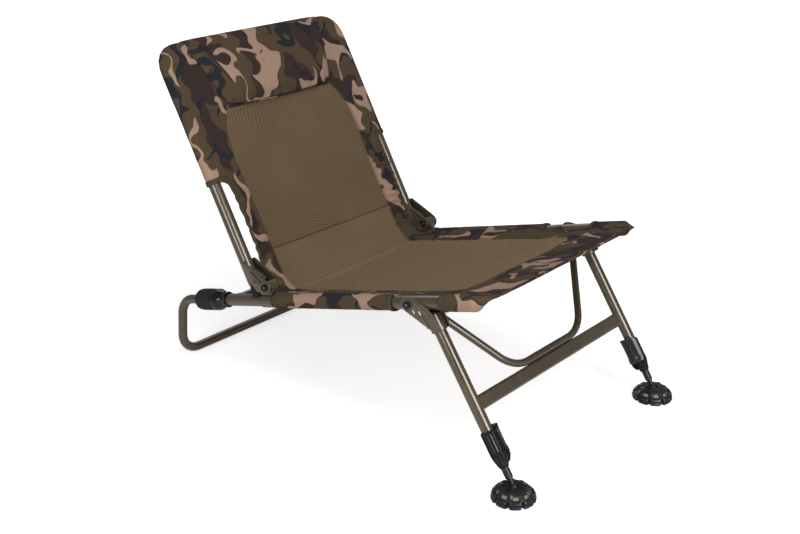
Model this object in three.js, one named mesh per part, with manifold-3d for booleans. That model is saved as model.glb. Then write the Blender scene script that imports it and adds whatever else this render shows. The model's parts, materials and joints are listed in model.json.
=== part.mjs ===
// Low folding carp fishing chair: a tilted seat frame, a reclined back hinged over its rear, a front
// leg frame with telescopic mud feet, a sliding rear support loop, and a stretched fabric sling.
// Millimetres, +Z up. The sitter faces -Y, so the sitter's right is -X.
import * as THREE from "three";
import { mergeVertices } from "three/addons/utils/BufferGeometryUtils.js";
import Module from "manifold-3d";

const wasm = await Module();
wasm.setup();

// Fits shared by every piece
const clearance = 0.3;
const cutOverrun = 3;
const roundSides = 20;
const smallSides = 12;
const boreSides = 8;
const bendSteps = 5;
const bossSteps = 8;
const flatSteps = 6;
const domeSteps = 3;
const ballSteps = 6;

// Seat frame
const trackWidth = 490;
const seatTilt = 15;
const seatFrontHeight = 342;
const seatTubeDiameter = 25;
const seatTubeWall = 1.5;
const seatTubeLength = 636;
const crossbarDiameter = 19;
const crossbarWall = 1.5;
const crossbarFromEnd = 20;

// Bolts that act as pivots
const boltDiameter = 8;
const boltHeadDiameter = 13.5;
const boltHeadHeight = 4.4;
const boltSocketDiameter = 5;
const boltSocketDepth = 2.4;

// Back hinge, on a saddle over each side tube
const hingeFromEnd = 134;
const hingeRise = 30.2;
const bushDiameter = 22;
const saddleWall = 1.8;
const saddleLead = 5;
const saddleTail = 27;
const saddleWebWidth = 18;
const saddleWebLead = 10;
const saddleWebTail = 18;

// Back frame, one bent tube carried by a pair of plates at each side
const backRecline = 29.8;
const backTubeDiameter = 25;
const backTubeWall = 1.5;
const backTubeOffset = 42.4;
const backTubeFoot = 16;
const backHeight = 503;
const backCornerRadius = 55;
const plateThickness = 2.5;
const plateBossRadius = 14;
const plateBossFrom = 145;
const plateBossTo = 325;
const plateTop = 64;
const plateFrontAtTop = 31;
const plateRearAtTop = 42;
const plateRearLow = 39;
const plateRearLowHeight = 24;
const plateHeel = 27;
const plateHeelHeight = -2;
const bossStep = 0.8;
const bossStepRadius = 11;

// Rubber stop between the plates, resting on the side tube
const bumperLength = 18;
const bumperHeight = 24;
const bumperSkirt = 2.2;
const bumperGap = 2;

// Leg frame
const legBoltStation = 141.5;
const legLean = 34.1;
const legOffset = 32;
const legTubeDiameter = 22;
const legTubeWall = 1.5;
const legTubeTop = 34;
const bracketWall = 2;
const bracketRadius = 14.8;
const bracketTop = 34;
const bracketBottom = 64.6;
const bracketBossRadius = 14;
const bracketBossFrom = -25;
const bracketBossTo = 120;
const plugDomeRadius = 14.6;
const plugDepth = 12;
const legCrossbarAboveClamp = 48.3;
const legCrossbarWall = 1.5;
const legCrossbarLong = 27;
const legCrossbarShort = 12;
const braceDiameter = 14;
const braceWall = 1.5;
const braceWidthShare = 0.4465;
const braceBendRadius = 80;
const braceTopDistance = 19;
const braceTopOffset = 15;

// Cam clamp at the foot of each leg tube
const clampFromBall = 37.9;
const clampLength = 69;
const clampOverTube = 40;
const clampDiameter = 28;
const clampNoseDiameter = 19;
const clampShoulder = 44;
const clampRibs = 8;
const clampRibDepth = 1.1;
const lugReach = 20;
const lugThickness = 2.6;
const lugHeight = 13;
const leverPinFromNose = 24;
const leverPinDiameter = 3.2;
const leverPinReach = 16.6;
const leverWidth = 15;
const leverThickness = 4.4;
const leverLength = 50;
const leverGap = 0.8;
const knuckleFrom = -170;
const knuckleTo = 10;
const knuckleSteps = 8;

// Telescopic inner leg with its ball end
const innerLegDiameter = 14.5;
const innerLegLength = 192.9;
const innerLegConeLength = 9;
const innerLegNeckDiameter = 6.4;
const ballDiameter = 14;
const ballHeight = 22.8;

// Mud foot
const footDiameter = 80;
const footRimHeight = 11;
const footWall = 2.6;
const footLobes = 10;
const footLobeDepth = 2.4;
const footCrownHeight = 21;
const footCrownDiameter = 34;
const socketHeight = 25.2;
const socketDiameter = 20;
const footWindowWidth = 9;
const footWindowHeight = 5.6;
const footWindowSill = 4.4;
const socketMouthAngle = 75;

// Rear support loop and its twist collars
const supportDiameter = 19;
const supportWall = 1.5;
const supportInsertion = 186;
const supportReach = 153;
const supportLean = 5;
const supportTopBend = 48;
const supportFootBend = 45;
const ferruleSpigot = 34;
const ferruleDiameter = 29.5;
const ferruleLength = 14;
const ferruleNeckDiameter = 24;
const ferruleNeckLength = 26;
const collarRingDiameter = 33;
const collarRingLength = 18;
const gripDiameter = 41;
const gripLength = 60;
const gripRounding = 8;
const gripFlutes = 15;
const gripFluteDepth = 0.7;
const collarWall = 3.2;

// Fabric sling
const clothThickness = 3;
const sleeveRadius = 15.8;
const seatSurface = 1;
const seatSag = 9;
const seatJoinPast = 2;
const hemReach = 33.5;
const hemRise = 5.2;
const hemInset = 16;
const pocketRear = 70;
const windowRear = 181;
const sleeveLead = 13;
const edgeInset = 23;
const tipInset = 33;
const backEdgeInset = 21;
const backSleeveFoot = 226;
const lumbarLead = 10;
const lumbarTop = 55;
const edgeSweep = 105;
const sleeveSteps = 6;
const hemSteps = 3;
const panelShares = [1, 0.75, 0.4];
const noseRows = [
  { reachShare: 0.6, openShare: 0.43, sagShare: 0.1, riseShare: 0.5 },
  { reachShare: 0.25, openShare: 0.82, sagShare: 0.2, riseShare: 0.15 },
];
const tubeEndSagShare = 0.3;
const pocketSagShare = 0.55;
const windowSagShare = 0.9;
const rearSagShare = 0.6;
const joinSagShare = 0.5;
const lumbarRows = 6;
const backSurface = 14;
const backSag = 8;
const padTall = 141;
const padFootWidthShare = 0.608;
const padTopWidthShare = 0.7755;
const padCrown = 24;
const padEdge = 3;
const padHeightShares = [0, 0.025, 0.09, 0.3, 0.6, 0.85, 0.97, 1];
const padCrownShares = [0.25, 0.7, 1, 0.98, 0.82, 0.5, 0.22, 0.05];
const padAcrossShares = [-1, -0.97, -0.88, -0.7, -0.4, 0, 0.4, 0.7, 0.88, 0.97, 1];

// Colours of the finishes
const paintColour = 0x565040;
const paintDarkColour = 0x4a4436;
const blackPlasticColour = 0x26262a;
const rubberColour = 0x1c1c1e;
const steelColour = 0x3a3a3c;
const clothColour = 0x5c4b38;
const meshColour = 0x6b5a42;

// Values that follow from the driving dimensions
const radians = THREE.MathUtils.degToRad;
const halfTrack = trackWidth / 2;
const seatTubeRadius = seatTubeDiameter / 2;
const backTubeRadius = backTubeDiameter / 2;
const legTubeRadius = legTubeDiameter / 2;
const plateInside = backTubeRadius + clearance;
const plateOutside = plateInside + plateThickness;
const earInside = seatTubeRadius + 2 * clearance;
const earOutside = earInside + bracketWall;
const crossbarStation = seatTubeLength - crossbarFromEnd;
const hingeStation = seatTubeLength - hingeFromEnd;
const saddleFront = hingeStation - saddleLead;
const saddleRear = hingeStation + saddleTail;
const seatJoin = hingeStation + seatJoinPast;
const sleeveRear = hingeStation - sleeveLead;
const hemHalfWidth = halfTrack - hemInset;
const freeEdge = halfTrack - edgeInset;
const sleeveTip = halfTrack - tipInset;
const backFreeEdge = halfTrack - backEdgeInset;
const padFoot = backHeight - padTall;
const sides = [
  { name: "left", sign: 1 },
  { name: "right", sign: -1 },
];

// A place on the side tubes' plane: station rearwards along the tube, rise square to it
function seatPlace(station, rise) {
  const tilt = radians(seatTilt);
  const y = station * Math.cos(tilt) + rise * Math.sin(tilt);
  const z = seatFrontHeight - station * Math.sin(tilt) + rise * Math.cos(tilt);
  return new THREE.Vector2(y, z);
}

// Solids from closed geometries, and back
function toSolid(geometry) {
  const bare = new THREE.BufferGeometry();
  bare.setAttribute("position", geometry.getAttribute("position").clone());
  if (geometry.index) bare.setIndex(geometry.index.clone());
  const merged = mergeVertices(bare, clearance / 1000);
  const index = merged.index.array;
  const kept = [];
  for (let i = 0; i < index.length; i += 3) {
    const [a, b, c] = [index[i], index[i + 1], index[i + 2]];
    if (a !== b && b !== c && c !== a) kept.push(a, b, c);
  }
  const vertProperties = new Float32Array(merged.getAttribute("position").array);
  const triVerts = new Uint32Array(kept);
  return new wasm.Manifold(new wasm.Mesh({ numProp: 3, vertProperties, triVerts }));
}

function toGeometry(solid) {
  const mesh = solid.getMesh();
  const geometry = new THREE.BufferGeometry();
  geometry.setAttribute("position", new THREE.BufferAttribute(mesh.vertProperties, 3));
  geometry.setIndex(new THREE.BufferAttribute(mesh.triVerts, 1));
  geometry.computeVertexNormals();
  return geometry;
}

function join(...geometries) {
  return toGeometry(geometries.map(toSolid).reduce((sum, solid) => sum.add(solid)));
}

function cut(geometry, ...tools) {
  return toGeometry(tools.map(toSolid).reduce((rest, tool) => rest.subtract(tool), toSolid(geometry)));
}

// Points of a circle, for outlines and sections
function circlePoints(radius, count) {
  const points = [];
  for (let i = 0; i < count; i += 1) {
    const angle = (2 * Math.PI * i) / count;
    points.push(new THREE.Vector2(radius * Math.cos(angle), radius * Math.sin(angle)));
  }
  return points;
}

function arcPoints(centre, radius, from, to, steps) {
  const points = [];
  for (let i = 0; i <= steps; i += 1) {
    const angle = radians(from + ((to - from) * i) / steps);
    points.push(new THREE.Vector2(centre.x + radius * Math.cos(angle), centre.y + radius * Math.sin(angle)));
  }
  return points;
}

// Round bar or tube on the X, Y or Z axis, centred on its middle
function roundBar(radius, length, axis, count = roundSides) {
  const bar = new THREE.CylinderGeometry(radius, radius, length, count);
  if (axis === "x") bar.rotateZ(Math.PI / 2);
  if (axis === "z") bar.rotateX(Math.PI / 2);
  return bar;
}

// A turned piece on the Y axis: each row is a distance along the axis and a radius
function turned(rows, count = roundSides) {
  return new THREE.LatheGeometry(rows.map(([along, radius]) => new THREE.Vector2(radius, along)), count);
}

function hollowBar(outer, inner, from, to, count = roundSides) {
  return turned([[from, inner], [from, outer], [to, outer], [to, inner], [from, inner]], count);
}

// An outline in the YZ plane, given thickness between two X values
function plateAcross(points, fromX, toX) {
  const settings = { depth: toX - fromX, bevelEnabled: false };
  const plate = new THREE.ExtrudeGeometry(new THREE.Shape(points), settings);
  plate.applyMatrix4(new THREE.Matrix4().makeBasis(
    new THREE.Vector3(0, 1, 0),
    new THREE.Vector3(0, 0, 1),
    new THREE.Vector3(1, 0, 0),
  ));
  return plate.translate(fromX, 0, 0);
}

function box(sizeX, sizeY, sizeZ, x, y, z) {
  return new THREE.BoxGeometry(sizeX, sizeY, sizeZ).translate(x, y, z);
}

// A route through corner points, each corner rounded to its bend radius
class BentRoute extends THREE.Curve {
  constructor(corners, bendRadii) {
    super();
    this.stations = [];
    const last = corners.length - 1;
    for (let i = 0; i <= last; i += 1) {
      const before = corners[Math.max(i - 1, 0)];
      const after = corners[Math.min(i + 1, last)];
      const arriving = corners[i].clone().sub(before).normalize();
      const leaving = after.clone().sub(corners[i]).normalize();
      if (i === 0) this.stations.push({ point: corners[i], tangent: leaving });
      else if (i === last) this.stations.push({ point: corners[i], tangent: arriving });
      else this.addBend(corners[i], arriving, leaving, bendRadii[i - 1]);
    }
  }

  addBend(corner, arriving, leaving, bendRadius) {
    const turn = arriving.angleTo(leaving);
    const start = corner.clone().addScaledVector(arriving, -bendRadius * Math.tan(turn / 2));
    const inward = leaving.clone().addScaledVector(arriving, -Math.cos(turn)).normalize();
    for (let step = 0; step <= bendSteps; step += 1) {
      const angle = (turn * step) / bendSteps;
      const point = start.clone();
      point.addScaledVector(arriving, bendRadius * Math.sin(angle));
      point.addScaledVector(inward, bendRadius * (1 - Math.cos(angle)));
      const tangent = arriving.clone().multiplyScalar(Math.cos(angle)).addScaledVector(inward, Math.sin(angle));
      this.stations.push({ point, tangent });
    }
  }

  get steps() {
    return this.stations.length - 1;
  }

  getPoint(t) {
    return this.stations[Math.round(t * this.steps)].point.clone();
  }

  getTangent(t) {
    return this.stations[Math.round(t * this.steps)].tangent.clone();
  }

  getUtoTmapping(u) {
    return u;
  }
}

function barAlong(route, radius, count, innerRadius = 0) {
  const section = new THREE.Shape(circlePoints(radius, count));
  if (innerRadius > 0) section.holes.push(new THREE.Path(circlePoints(innerRadius, boreSides).reverse()));
  return new THREE.ExtrudeGeometry(section, { steps: route.steps, bevelEnabled: false, extrudePath: route });
}

// A closed solid through a row of sections with the same number of points
function loft(sections, place) {
  const count = sections[0].outline.length;
  const positions = [];
  const triangles = [];
  for (const section of sections) {
    for (const point of section.outline) positions.push(...place(point, section).toArray());
  }
  for (let row = 0; row < sections.length - 1; row += 1) {
    for (let i = 0; i < count; i += 1) {
      const a = row * count + i;
      const b = row * count + ((i + 1) % count);
      triangles.push(a, b, a + count, b, b + count, a + count);
    }
  }
  const lastRow = (sections.length - 1) * count;
  for (const [a, b, c] of THREE.ShapeUtils.triangulateShape(sections[0].outline, [])) triangles.push(a, c, b);
  for (const [a, b, c] of THREE.ShapeUtils.triangulateShape(sections.at(-1).outline, [])) {
    triangles.push(lastRow + a, lastRow + b, lastRow + c);
  }
  const geometry = new THREE.BufferGeometry();
  geometry.setAttribute("position", new THREE.Float32BufferAttribute(positions, 3));
  geometry.setIndex(triangles);
  geometry.computeVertexNormals();
  return geometry;
}

// Finishes
function finish(color, roughness, metalness) {
  return new THREE.MeshStandardMaterial({ color, roughness, metalness });
}
const finishes = {
  paint: () => finish(paintColour, 0.45, 0.3),
  darkPaint: () => finish(paintDarkColour, 0.45, 0.3),
  blackPlastic: () => finish(blackPlasticColour, 0.5, 0),
  rubber: () => finish(rubberColour, 0.8, 0),
  steel: () => finish(steelColour, 0.35, 0.9),
  cloth: () => finish(clothColour, 0.95, 0),
  mesh: () => finish(meshColour, 0.95, 0),
};

function add(parent, name, geometry, material) {
  const mesh = new THREE.Mesh(geometry, material);
  mesh.name = name;
  parent.add(mesh);
  return mesh;
}

function sideGroup(parent, side) {
  const group = new THREE.Group();
  group.position.x = side.sign * halfTrack;
  parent.add(group);
  return group;
}

// Seat frame: local Y runs rearwards down the side tubes, local Z is square to them
const chair = new THREE.Group();
const seatFrame = new THREE.Group();
seatFrame.position.z = seatFrontHeight;
seatFrame.rotation.x = -radians(seatTilt);
chair.add(seatFrame);

function pivotBolt(reach) {
  const headRadius = boltHeadDiameter / 2;
  const shankRadius = boltDiameter / 2;
  const socketRadius = boltSocketDiameter / 2;
  const end = reach + boltHeadHeight;
  const chamfer = boltHeadHeight / 4;
  const bolt = turned([
    [-end, 0],
    [-end, headRadius - chamfer],
    [-end + chamfer, headRadius],
    [-reach, headRadius],
    [-reach, shankRadius],
    [reach, shankRadius],
    [reach, headRadius],
    [end - chamfer, headRadius],
    [end, headRadius - chamfer],
    [end, socketRadius],
    [end - boltSocketDepth, socketRadius],
    [end - boltSocketDepth, 0],
  ], smallSides);
  return bolt.rotateZ(-Math.PI / 2);
}

function seatTube() {
  const tube = hollowBar(seatTubeRadius, seatTubeRadius - seatTubeWall, 0, seatTubeLength);
  const boltHole = roundBar(boltDiameter / 2 + clearance, seatTubeDiameter + cutOverrun, "x", smallSides);
  return cut(tube, boltHole.translate(0, legBoltStation, 0));
}

function rearCrossbar() {
  const barRadius = crossbarDiameter / 2;
  const halfLength = (trackWidth - seatTubeRadius) / 2;
  const bar = hollowBar(barRadius, barRadius - crossbarWall, -halfLength, halfLength);
  bar.rotateZ(Math.PI / 2).translate(0, crossbarStation, 0);
  const ends = sides.map(({ sign }) => {
    const seat = roundBar(seatTubeRadius + clearance, crossbarDiameter + 2 * cutOverrun, "y");
    return seat.translate(sign * halfTrack, crossbarStation, 0);
  });
  const trims = sides.map(({ sign }) => {
    const size = crossbarDiameter + 2 * cutOverrun;
    return box(seatTubeDiameter, size, size, sign * (halfTrack + seatTubeRadius), crossbarStation, 0);
  });
  return cut(bar, ...ends, ...trims);
}

// A ring round the side tube with a web up to the hinge bush
function seatSaddle() {
  const bushRadius = bushDiameter / 2;
  const ring = hollowBar(sleeveSeat() + saddleWall, sleeveSeat(), saddleFront, saddleRear);
  const webBase = seatTubeRadius + saddleWall / 2;
  const web = plateAcross([
    new THREE.Vector2(hingeStation - saddleWebLead, webBase + saddleWall),
    new THREE.Vector2(saddleFront + saddleWall, webBase),
    new THREE.Vector2(saddleRear - saddleWall, webBase),
    new THREE.Vector2(hingeStation + saddleWebTail, hingeRise),
    new THREE.Vector2(hingeStation + bushRadius, hingeRise),
    new THREE.Vector2(hingeStation - bushRadius - saddleWall, hingeRise - bushRadius / 3),
  ], -saddleWebWidth / 2, saddleWebWidth / 2);
  const bushSeat = roundBar(bushRadius + clearance, saddleWebWidth + cutOverrun, "x");
  return cut(join(ring, web), bushSeat.translate(0, hingeStation, hingeRise));
}

function sleeveSeat() {
  return seatTubeRadius + clearance;
}

function hingeBush() {
  const halfLength = plateInside - clearance;
  const bush = hollowBar(bushDiameter / 2, boltDiameter / 2 + clearance, -halfLength, halfLength);
  return bush.rotateZ(Math.PI / 2);
}

// Front end of a twist collar: a bush in the tube's end with a flange and a neck
function collarFerrule() {
  const bore = supportDiameter / 2 + clearance;
  const spigot = seatTubeRadius - seatTubeWall - clearance;
  const flangeEnd = seatTubeLength + clearance + ferruleLength;
  const chamfer = (ferruleDiameter - seatTubeDiameter) / 2;
  return turned([
    [seatTubeLength - ferruleSpigot, bore],
    [seatTubeLength - ferruleSpigot, spigot],
    [seatTubeLength + clearance, spigot],
    [seatTubeLength + clearance, ferruleDiameter / 2 - chamfer / 2],
    [seatTubeLength + clearance + chamfer, ferruleDiameter / 2],
    [flangeEnd, ferruleDiameter / 2],
    [flangeEnd, ferruleNeckDiameter / 2],
    [flangeEnd + ferruleNeckLength, ferruleNeckDiameter / 2],
    [flangeEnd + ferruleNeckLength, bore],
    [seatTubeLength - ferruleSpigot, bore],
  ]);
}

// The turning part: a smooth ring in front and a fluted grip behind
function collarGrip() {
  const start = seatTubeLength + ferruleLength + 2 * clearance;
  const neckRoom = ferruleNeckDiameter / 2 + clearance;
  const bore = supportDiameter / 2 + clearance;
  const ringEnd = start + collarRingLength;
  const end = ringEnd + gripLength;
  const gripRadius = gripDiameter / 2;
  const rows = [
    [start, collarRingDiameter / 2 - collarWall / 2],
    [start + collarWall / 2, collarRingDiameter / 2],
    [ringEnd, collarRingDiameter / 2],
    [ringEnd + gripRounding / 4, gripRadius - gripRounding / 4],
    [ringEnd + gripRounding, gripRadius],
    [end - gripRounding, gripRadius],
    [end - gripRounding / 4, gripRadius - gripRounding / 2],
    [end, gripRadius - gripRounding],
  ];
  const sections = rows.map(([along, radius], index) => {
    const depth = index >= 3 ? gripFluteDepth : 0;
    const outline = circlePoints(1, 2 * gripFlutes).map((point, i) => (
      point.multiplyScalar(radius - (i % 2) * depth)
    ));
    return { outline, along };
  });
  const body = loft(sections, (point, section) => new THREE.Vector3(point.x, section.along, -point.y));
  const neckSpace = roundBar(neckRoom, ferruleNeckLength + 2 * clearance + cutOverrun, "y");
  neckSpace.translate(0, start + (ferruleNeckLength + 2 * clearance - cutOverrun) / 2, 0);
  const tubeSpace = roundBar(bore, collarRingLength + gripLength + 2 * cutOverrun, "y");
  tubeSpace.translate(0, (start + end) / 2, 0);
  return cut(body, neckSpace, tubeSpace);
}

for (const side of sides) {
  const group = sideGroup(seatFrame, side);
  add(group, `seat_tube_${side.name}`, seatTube(), finishes.paint());
  add(group, `seat_saddle_${side.name}`, seatSaddle(), finishes.paint());
  const bush = add(group, `hinge_bush_${side.name}`, hingeBush(), finishes.darkPaint());
  bush.position.set(0, hingeStation, hingeRise);
  const hingeBolt = add(group, `hinge_bolt_${side.name}`, pivotBolt(plateOutside + bossStep + clearance),
    finishes.steel());
  hingeBolt.position.set(0, hingeStation, hingeRise);
  const legBolt = add(group, `leg_bolt_${side.name}`, pivotBolt(earOutside + clearance), finishes.steel());
  legBolt.position.set(0, legBoltStation, 0);
  add(group, `collar_ferrule_${side.name}`, collarFerrule(), finishes.blackPlastic());
  add(group, `collar_grip_${side.name}`, collarGrip(), finishes.blackPlastic());
}
add(seatFrame, "rear_crossbar", rearCrossbar(), finishes.paint());

// Rear support: both arms slide in the side tubes, bend down and join along the ground
function rearSupport() {
  const knee = seatPlace(seatTubeLength + supportReach, 0);
  const footHeight = supportDiameter / 2;
  const footY = knee.x + (knee.y - footHeight) * Math.tan(radians(supportLean));
  const inner = seatPlace(seatTubeLength - supportInsertion, 0);
  const half = [
    new THREE.Vector3(halfTrack, inner.x, inner.y),
    new THREE.Vector3(halfTrack, knee.x, knee.y),
    new THREE.Vector3(halfTrack, footY, footHeight),
  ];
  const mirrored = half.map((corner) => new THREE.Vector3(-corner.x, corner.y, corner.z)).reverse();
  const bends = [supportTopBend, supportFootBend, supportFootBend, supportTopBend];
  const route = new BentRoute([...half, ...mirrored], bends);
  return barAlong(route, supportDiameter / 2, smallSides, supportDiameter / 2 - supportWall);
}
add(chair, "rear_support_loop", rearSupport(), finishes.paint());

// Back frame: local Z runs up the reclined back, local Y is square to it and points rearwards
const hingePlace = seatPlace(hingeStation, hingeRise);
const backFrame = new THREE.Group();
backFrame.position.set(0, hingePlace.x, hingePlace.y);
backFrame.rotation.x = -radians(backRecline);
chair.add(backFrame);

function backRoute(foot) {
  const corners = [
    new THREE.Vector3(halfTrack, backTubeOffset, foot),
    new THREE.Vector3(halfTrack, backTubeOffset, backHeight),
    new THREE.Vector3(-halfTrack, backTubeOffset, backHeight),
    new THREE.Vector3(-halfTrack, backTubeOffset, foot),
  ];
  return new BentRoute(corners, [backCornerRadius, backCornerRadius]);
}

function backTube() {
  return barAlong(backRoute(backTubeFoot), backTubeRadius, roundSides, backTubeRadius - backTubeWall);
}

// One plate of the pair that carries the back tube beside the hinge, with its raised boss
function backPlate(outward) {
  const boss = arcPoints(new THREE.Vector2(0, 0), plateBossRadius, plateBossFrom, plateBossTo, bossSteps);
  const outline = [
    ...boss,
    new THREE.Vector2(plateHeel, plateHeelHeight),
    new THREE.Vector2(plateRearLow, plateRearLowHeight),
    new THREE.Vector2(plateRearAtTop, plateTop),
    new THREE.Vector2(plateFrontAtTop, plateTop),
  ];
  const near = outward > 0 ? plateInside : -plateOutside;
  const plate = plateAcross(outline, near, near + plateThickness);
  const step = roundBar(bossStepRadius, plateThickness + bossStep, "x");
  step.translate(outward * (plateInside + (plateThickness + bossStep) / 2), 0, 0);
  const hole = roundBar(boltDiameter / 2 + clearance, 2 * plateOutside + 2 * cutOverrun, "x", smallSides);
  return cut(join(plate, step), hole);
}

// Rubber block held between the plates, hollowed to sit over the side tube
function stopBumper() {
  const halfWidth = plateInside - clearance;
  const seat = new THREE.Matrix4().makeRotationX(radians(backRecline - seatTilt));
  const low = seatTubeRadius - bumperSkirt;
  const start = saddleRear + bumperGap;
  const block = box(
    2 * halfWidth, bumperLength, bumperHeight,
    0, start + bumperLength / 2, low + bumperHeight / 2,
  );
  const tubeSpace = roundBar(sleeveSeat(), bumperLength + 2 * cutOverrun, "y");
  tubeSpace.translate(0, start + bumperLength / 2, 0);
  const bumper = cut(block, tubeSpace);
  bumper.translate(0, -hingeStation, -hingeRise);
  return bumper.applyMatrix4(seat);
}

for (const side of sides) {
  const group = sideGroup(backFrame, side);
  add(group, `back_plate_outer_${side.name}`, backPlate(side.sign), finishes.paint());
  add(group, `back_plate_inner_${side.name}`, backPlate(-side.sign), finishes.paint());
  add(group, `stop_bumper_${side.name}`, stopBumper(), finishes.rubber());
}
add(backFrame, "back_frame_tube", backTube(), finishes.paint());

// Leg frame: the origin is the leg bolt, local Z runs up the leg and local Y points rearwards.
// Distances down the leg end at the ball, whose height over the ground sets the leg's length.
const legPivot = seatPlace(legBoltStation, 0);
const legDrop = legPivot.y + legOffset * Math.sin(radians(legLean)) - ballHeight;
const ballDistance = legDrop / Math.cos(radians(legLean));
const clampBottom = ballDistance - clampFromBall;
const clampTop = clampBottom - clampLength;
const legTubeBottom = clampTop + clampOverTube;
const leverPinDistance = clampBottom - leverPinFromNose;
const innerLegTop = ballDistance - innerLegLength;
const legCrossbarDistance = clampTop - legCrossbarAboveClamp;
const legFrame = new THREE.Group();
legFrame.position.set(0, legPivot.x, legPivot.y);
legFrame.rotation.x = -radians(legLean);
chair.add(legFrame);

// Rolled bracket: a sleeve on the leg with two ears up to the leg bolt
function legBracket() {
  const front = -legOffset - bracketRadius;
  const rear = -legOffset + bracketRadius;
  const boltCentre = new THREE.Vector2(0, 0);
  const bossTop = arcPoints(boltCentre, bracketBossRadius, bracketBossFrom, bracketBossTo, bossSteps);
  const throat = new THREE.QuadraticBezierCurve(
    bossTop.at(-1),
    new THREE.Vector2(-legOffset, bracketWall),
    new THREE.Vector2(front, -bracketTop - 2 * bracketWall),
  );
  const outline = [
    ...bossTop,
    ...throat.getPoints(flatSteps).slice(1),
    new THREE.Vector2(front, -bracketBottom),
    new THREE.Vector2(rear, -bracketBottom),
  ];
  const ears = [plateAcross(outline, -earOutside, -earInside), plateAcross(outline, earInside, earOutside)];
  const sleeve = roundBar(bracketRadius, bracketBottom - bracketTop, "z");
  sleeve.translate(0, -legOffset, -(bracketTop + bracketBottom) / 2);
  const legSpace = roundBar(legTubeRadius + clearance, bracketBottom, "z");
  legSpace.translate(0, -legOffset, -bracketBottom);
  const hole = roundBar(boltDiameter / 2 + clearance, 2 * earOutside + 2 * cutOverrun, "x", smallSides);
  return cut(join(sleeve, ...ears), legSpace, hole);
}

// Domed plug in the leg tube's top, which bears on the underside of the side tube
function legPlug() {
  const lean = radians(legLean - seatTilt);
  const centreDrop = seatTubeRadius + clearance + plugDomeRadius + legOffset * Math.sin(lean);
  const domeDepth = centreDrop / Math.cos(lean);
  const headRadius = legTubeRadius;
  const fromCentre = Math.sqrt(plugDomeRadius ** 2 - headRadius ** 2);
  const shoulder = -domeDepth + fromCentre;
  const rows = [[-legTubeTop - plugDepth, 0]];
  const spigotRadius = legTubeRadius - legTubeWall - clearance;
  rows.push([-legTubeTop - plugDepth, spigotRadius], [-legTubeTop + clearance, spigotRadius]);
  rows.push([-legTubeTop + clearance, headRadius]);
  const spread = Math.asin(headRadius / plugDomeRadius);
  for (let i = 0; i <= domeSteps; i += 1) {
    const angle = spread * (1 - i / domeSteps);
    const along = i === 0 ? shoulder : -domeDepth + plugDomeRadius * Math.cos(angle);
    rows.push([along, i === domeSteps ? 0 : plugDomeRadius * Math.sin(angle)]);
  }
  return turned(rows).rotateX(Math.PI / 2).translate(0, -legOffset, 0);
}

function legTube() {
  const tube = hollowBar(legTubeRadius, legTubeRadius - legTubeWall, -legTubeBottom, -legTubeTop);
  return tube.rotateX(Math.PI / 2).translate(0, -legOffset, 0);
}

function legSeatCuts(size) {
  return sides.map(({ sign }) => {
    const seat = roundBar(legTubeRadius + clearance, size, "z");
    return seat.translate(sign * halfTrack, -legOffset, -legCrossbarDistance);
  });
}

// Flat-oval bar between the legs
function legCrossbar() {
  const straight = (legCrossbarLong - legCrossbarShort) / 2;
  const upperCentre = new THREE.Vector2(-legOffset, straight - legCrossbarDistance);
  const lowerCentre = new THREE.Vector2(-legOffset, -straight - legCrossbarDistance);
  const oval = (inset, halfLength) => {
    const end = legCrossbarShort / 2 - inset;
    const upper = arcPoints(upperCentre, end, 0, 180, flatSteps);
    const lower = arcPoints(lowerCentre, end, 180, 360, flatSteps);
    return plateAcross([...upper, ...lower], -halfLength, halfLength);
  };
  const bore = oval(legCrossbarWall, halfTrack);
  return cut(oval(0, halfTrack - legTubeRadius / 2), bore, ...legSeatCuts(legCrossbarLong + 2 * cutOverrun));
}

// Bent brace from the brackets down to the crossbar's upper edge
function legBrace() {
  const braceRadius = braceDiameter / 2;
  const footZ = -legCrossbarDistance + legCrossbarLong / 2 + clearance + braceRadius;
  const topX = halfTrack - seatTubeRadius;
  const braceHalfWidth = halfTrack * braceWidthShare;
  const topY = braceTopOffset - legOffset;
  const corners = [
    new THREE.Vector3(topX, topY, -braceTopDistance),
    new THREE.Vector3(braceHalfWidth, -legOffset, footZ),
    new THREE.Vector3(-braceHalfWidth, -legOffset, footZ),
    new THREE.Vector3(-topX, topY, -braceTopDistance),
  ];
  const route = new BentRoute(corners, [braceBendRadius, braceBendRadius]);
  const bar = barAlong(route, braceRadius, smallSides, braceRadius - braceWall);
  const trims = sides.map(({ sign }) => {
    const size = seatTubeDiameter + 2 * braceDiameter;
    const reach = halfTrack - earOutside - clearance;
    return box(size, size, size, sign * (reach + size / 2), topY, -braceTopDistance);
  });
  return cut(bar, ...trims);
}

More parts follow.
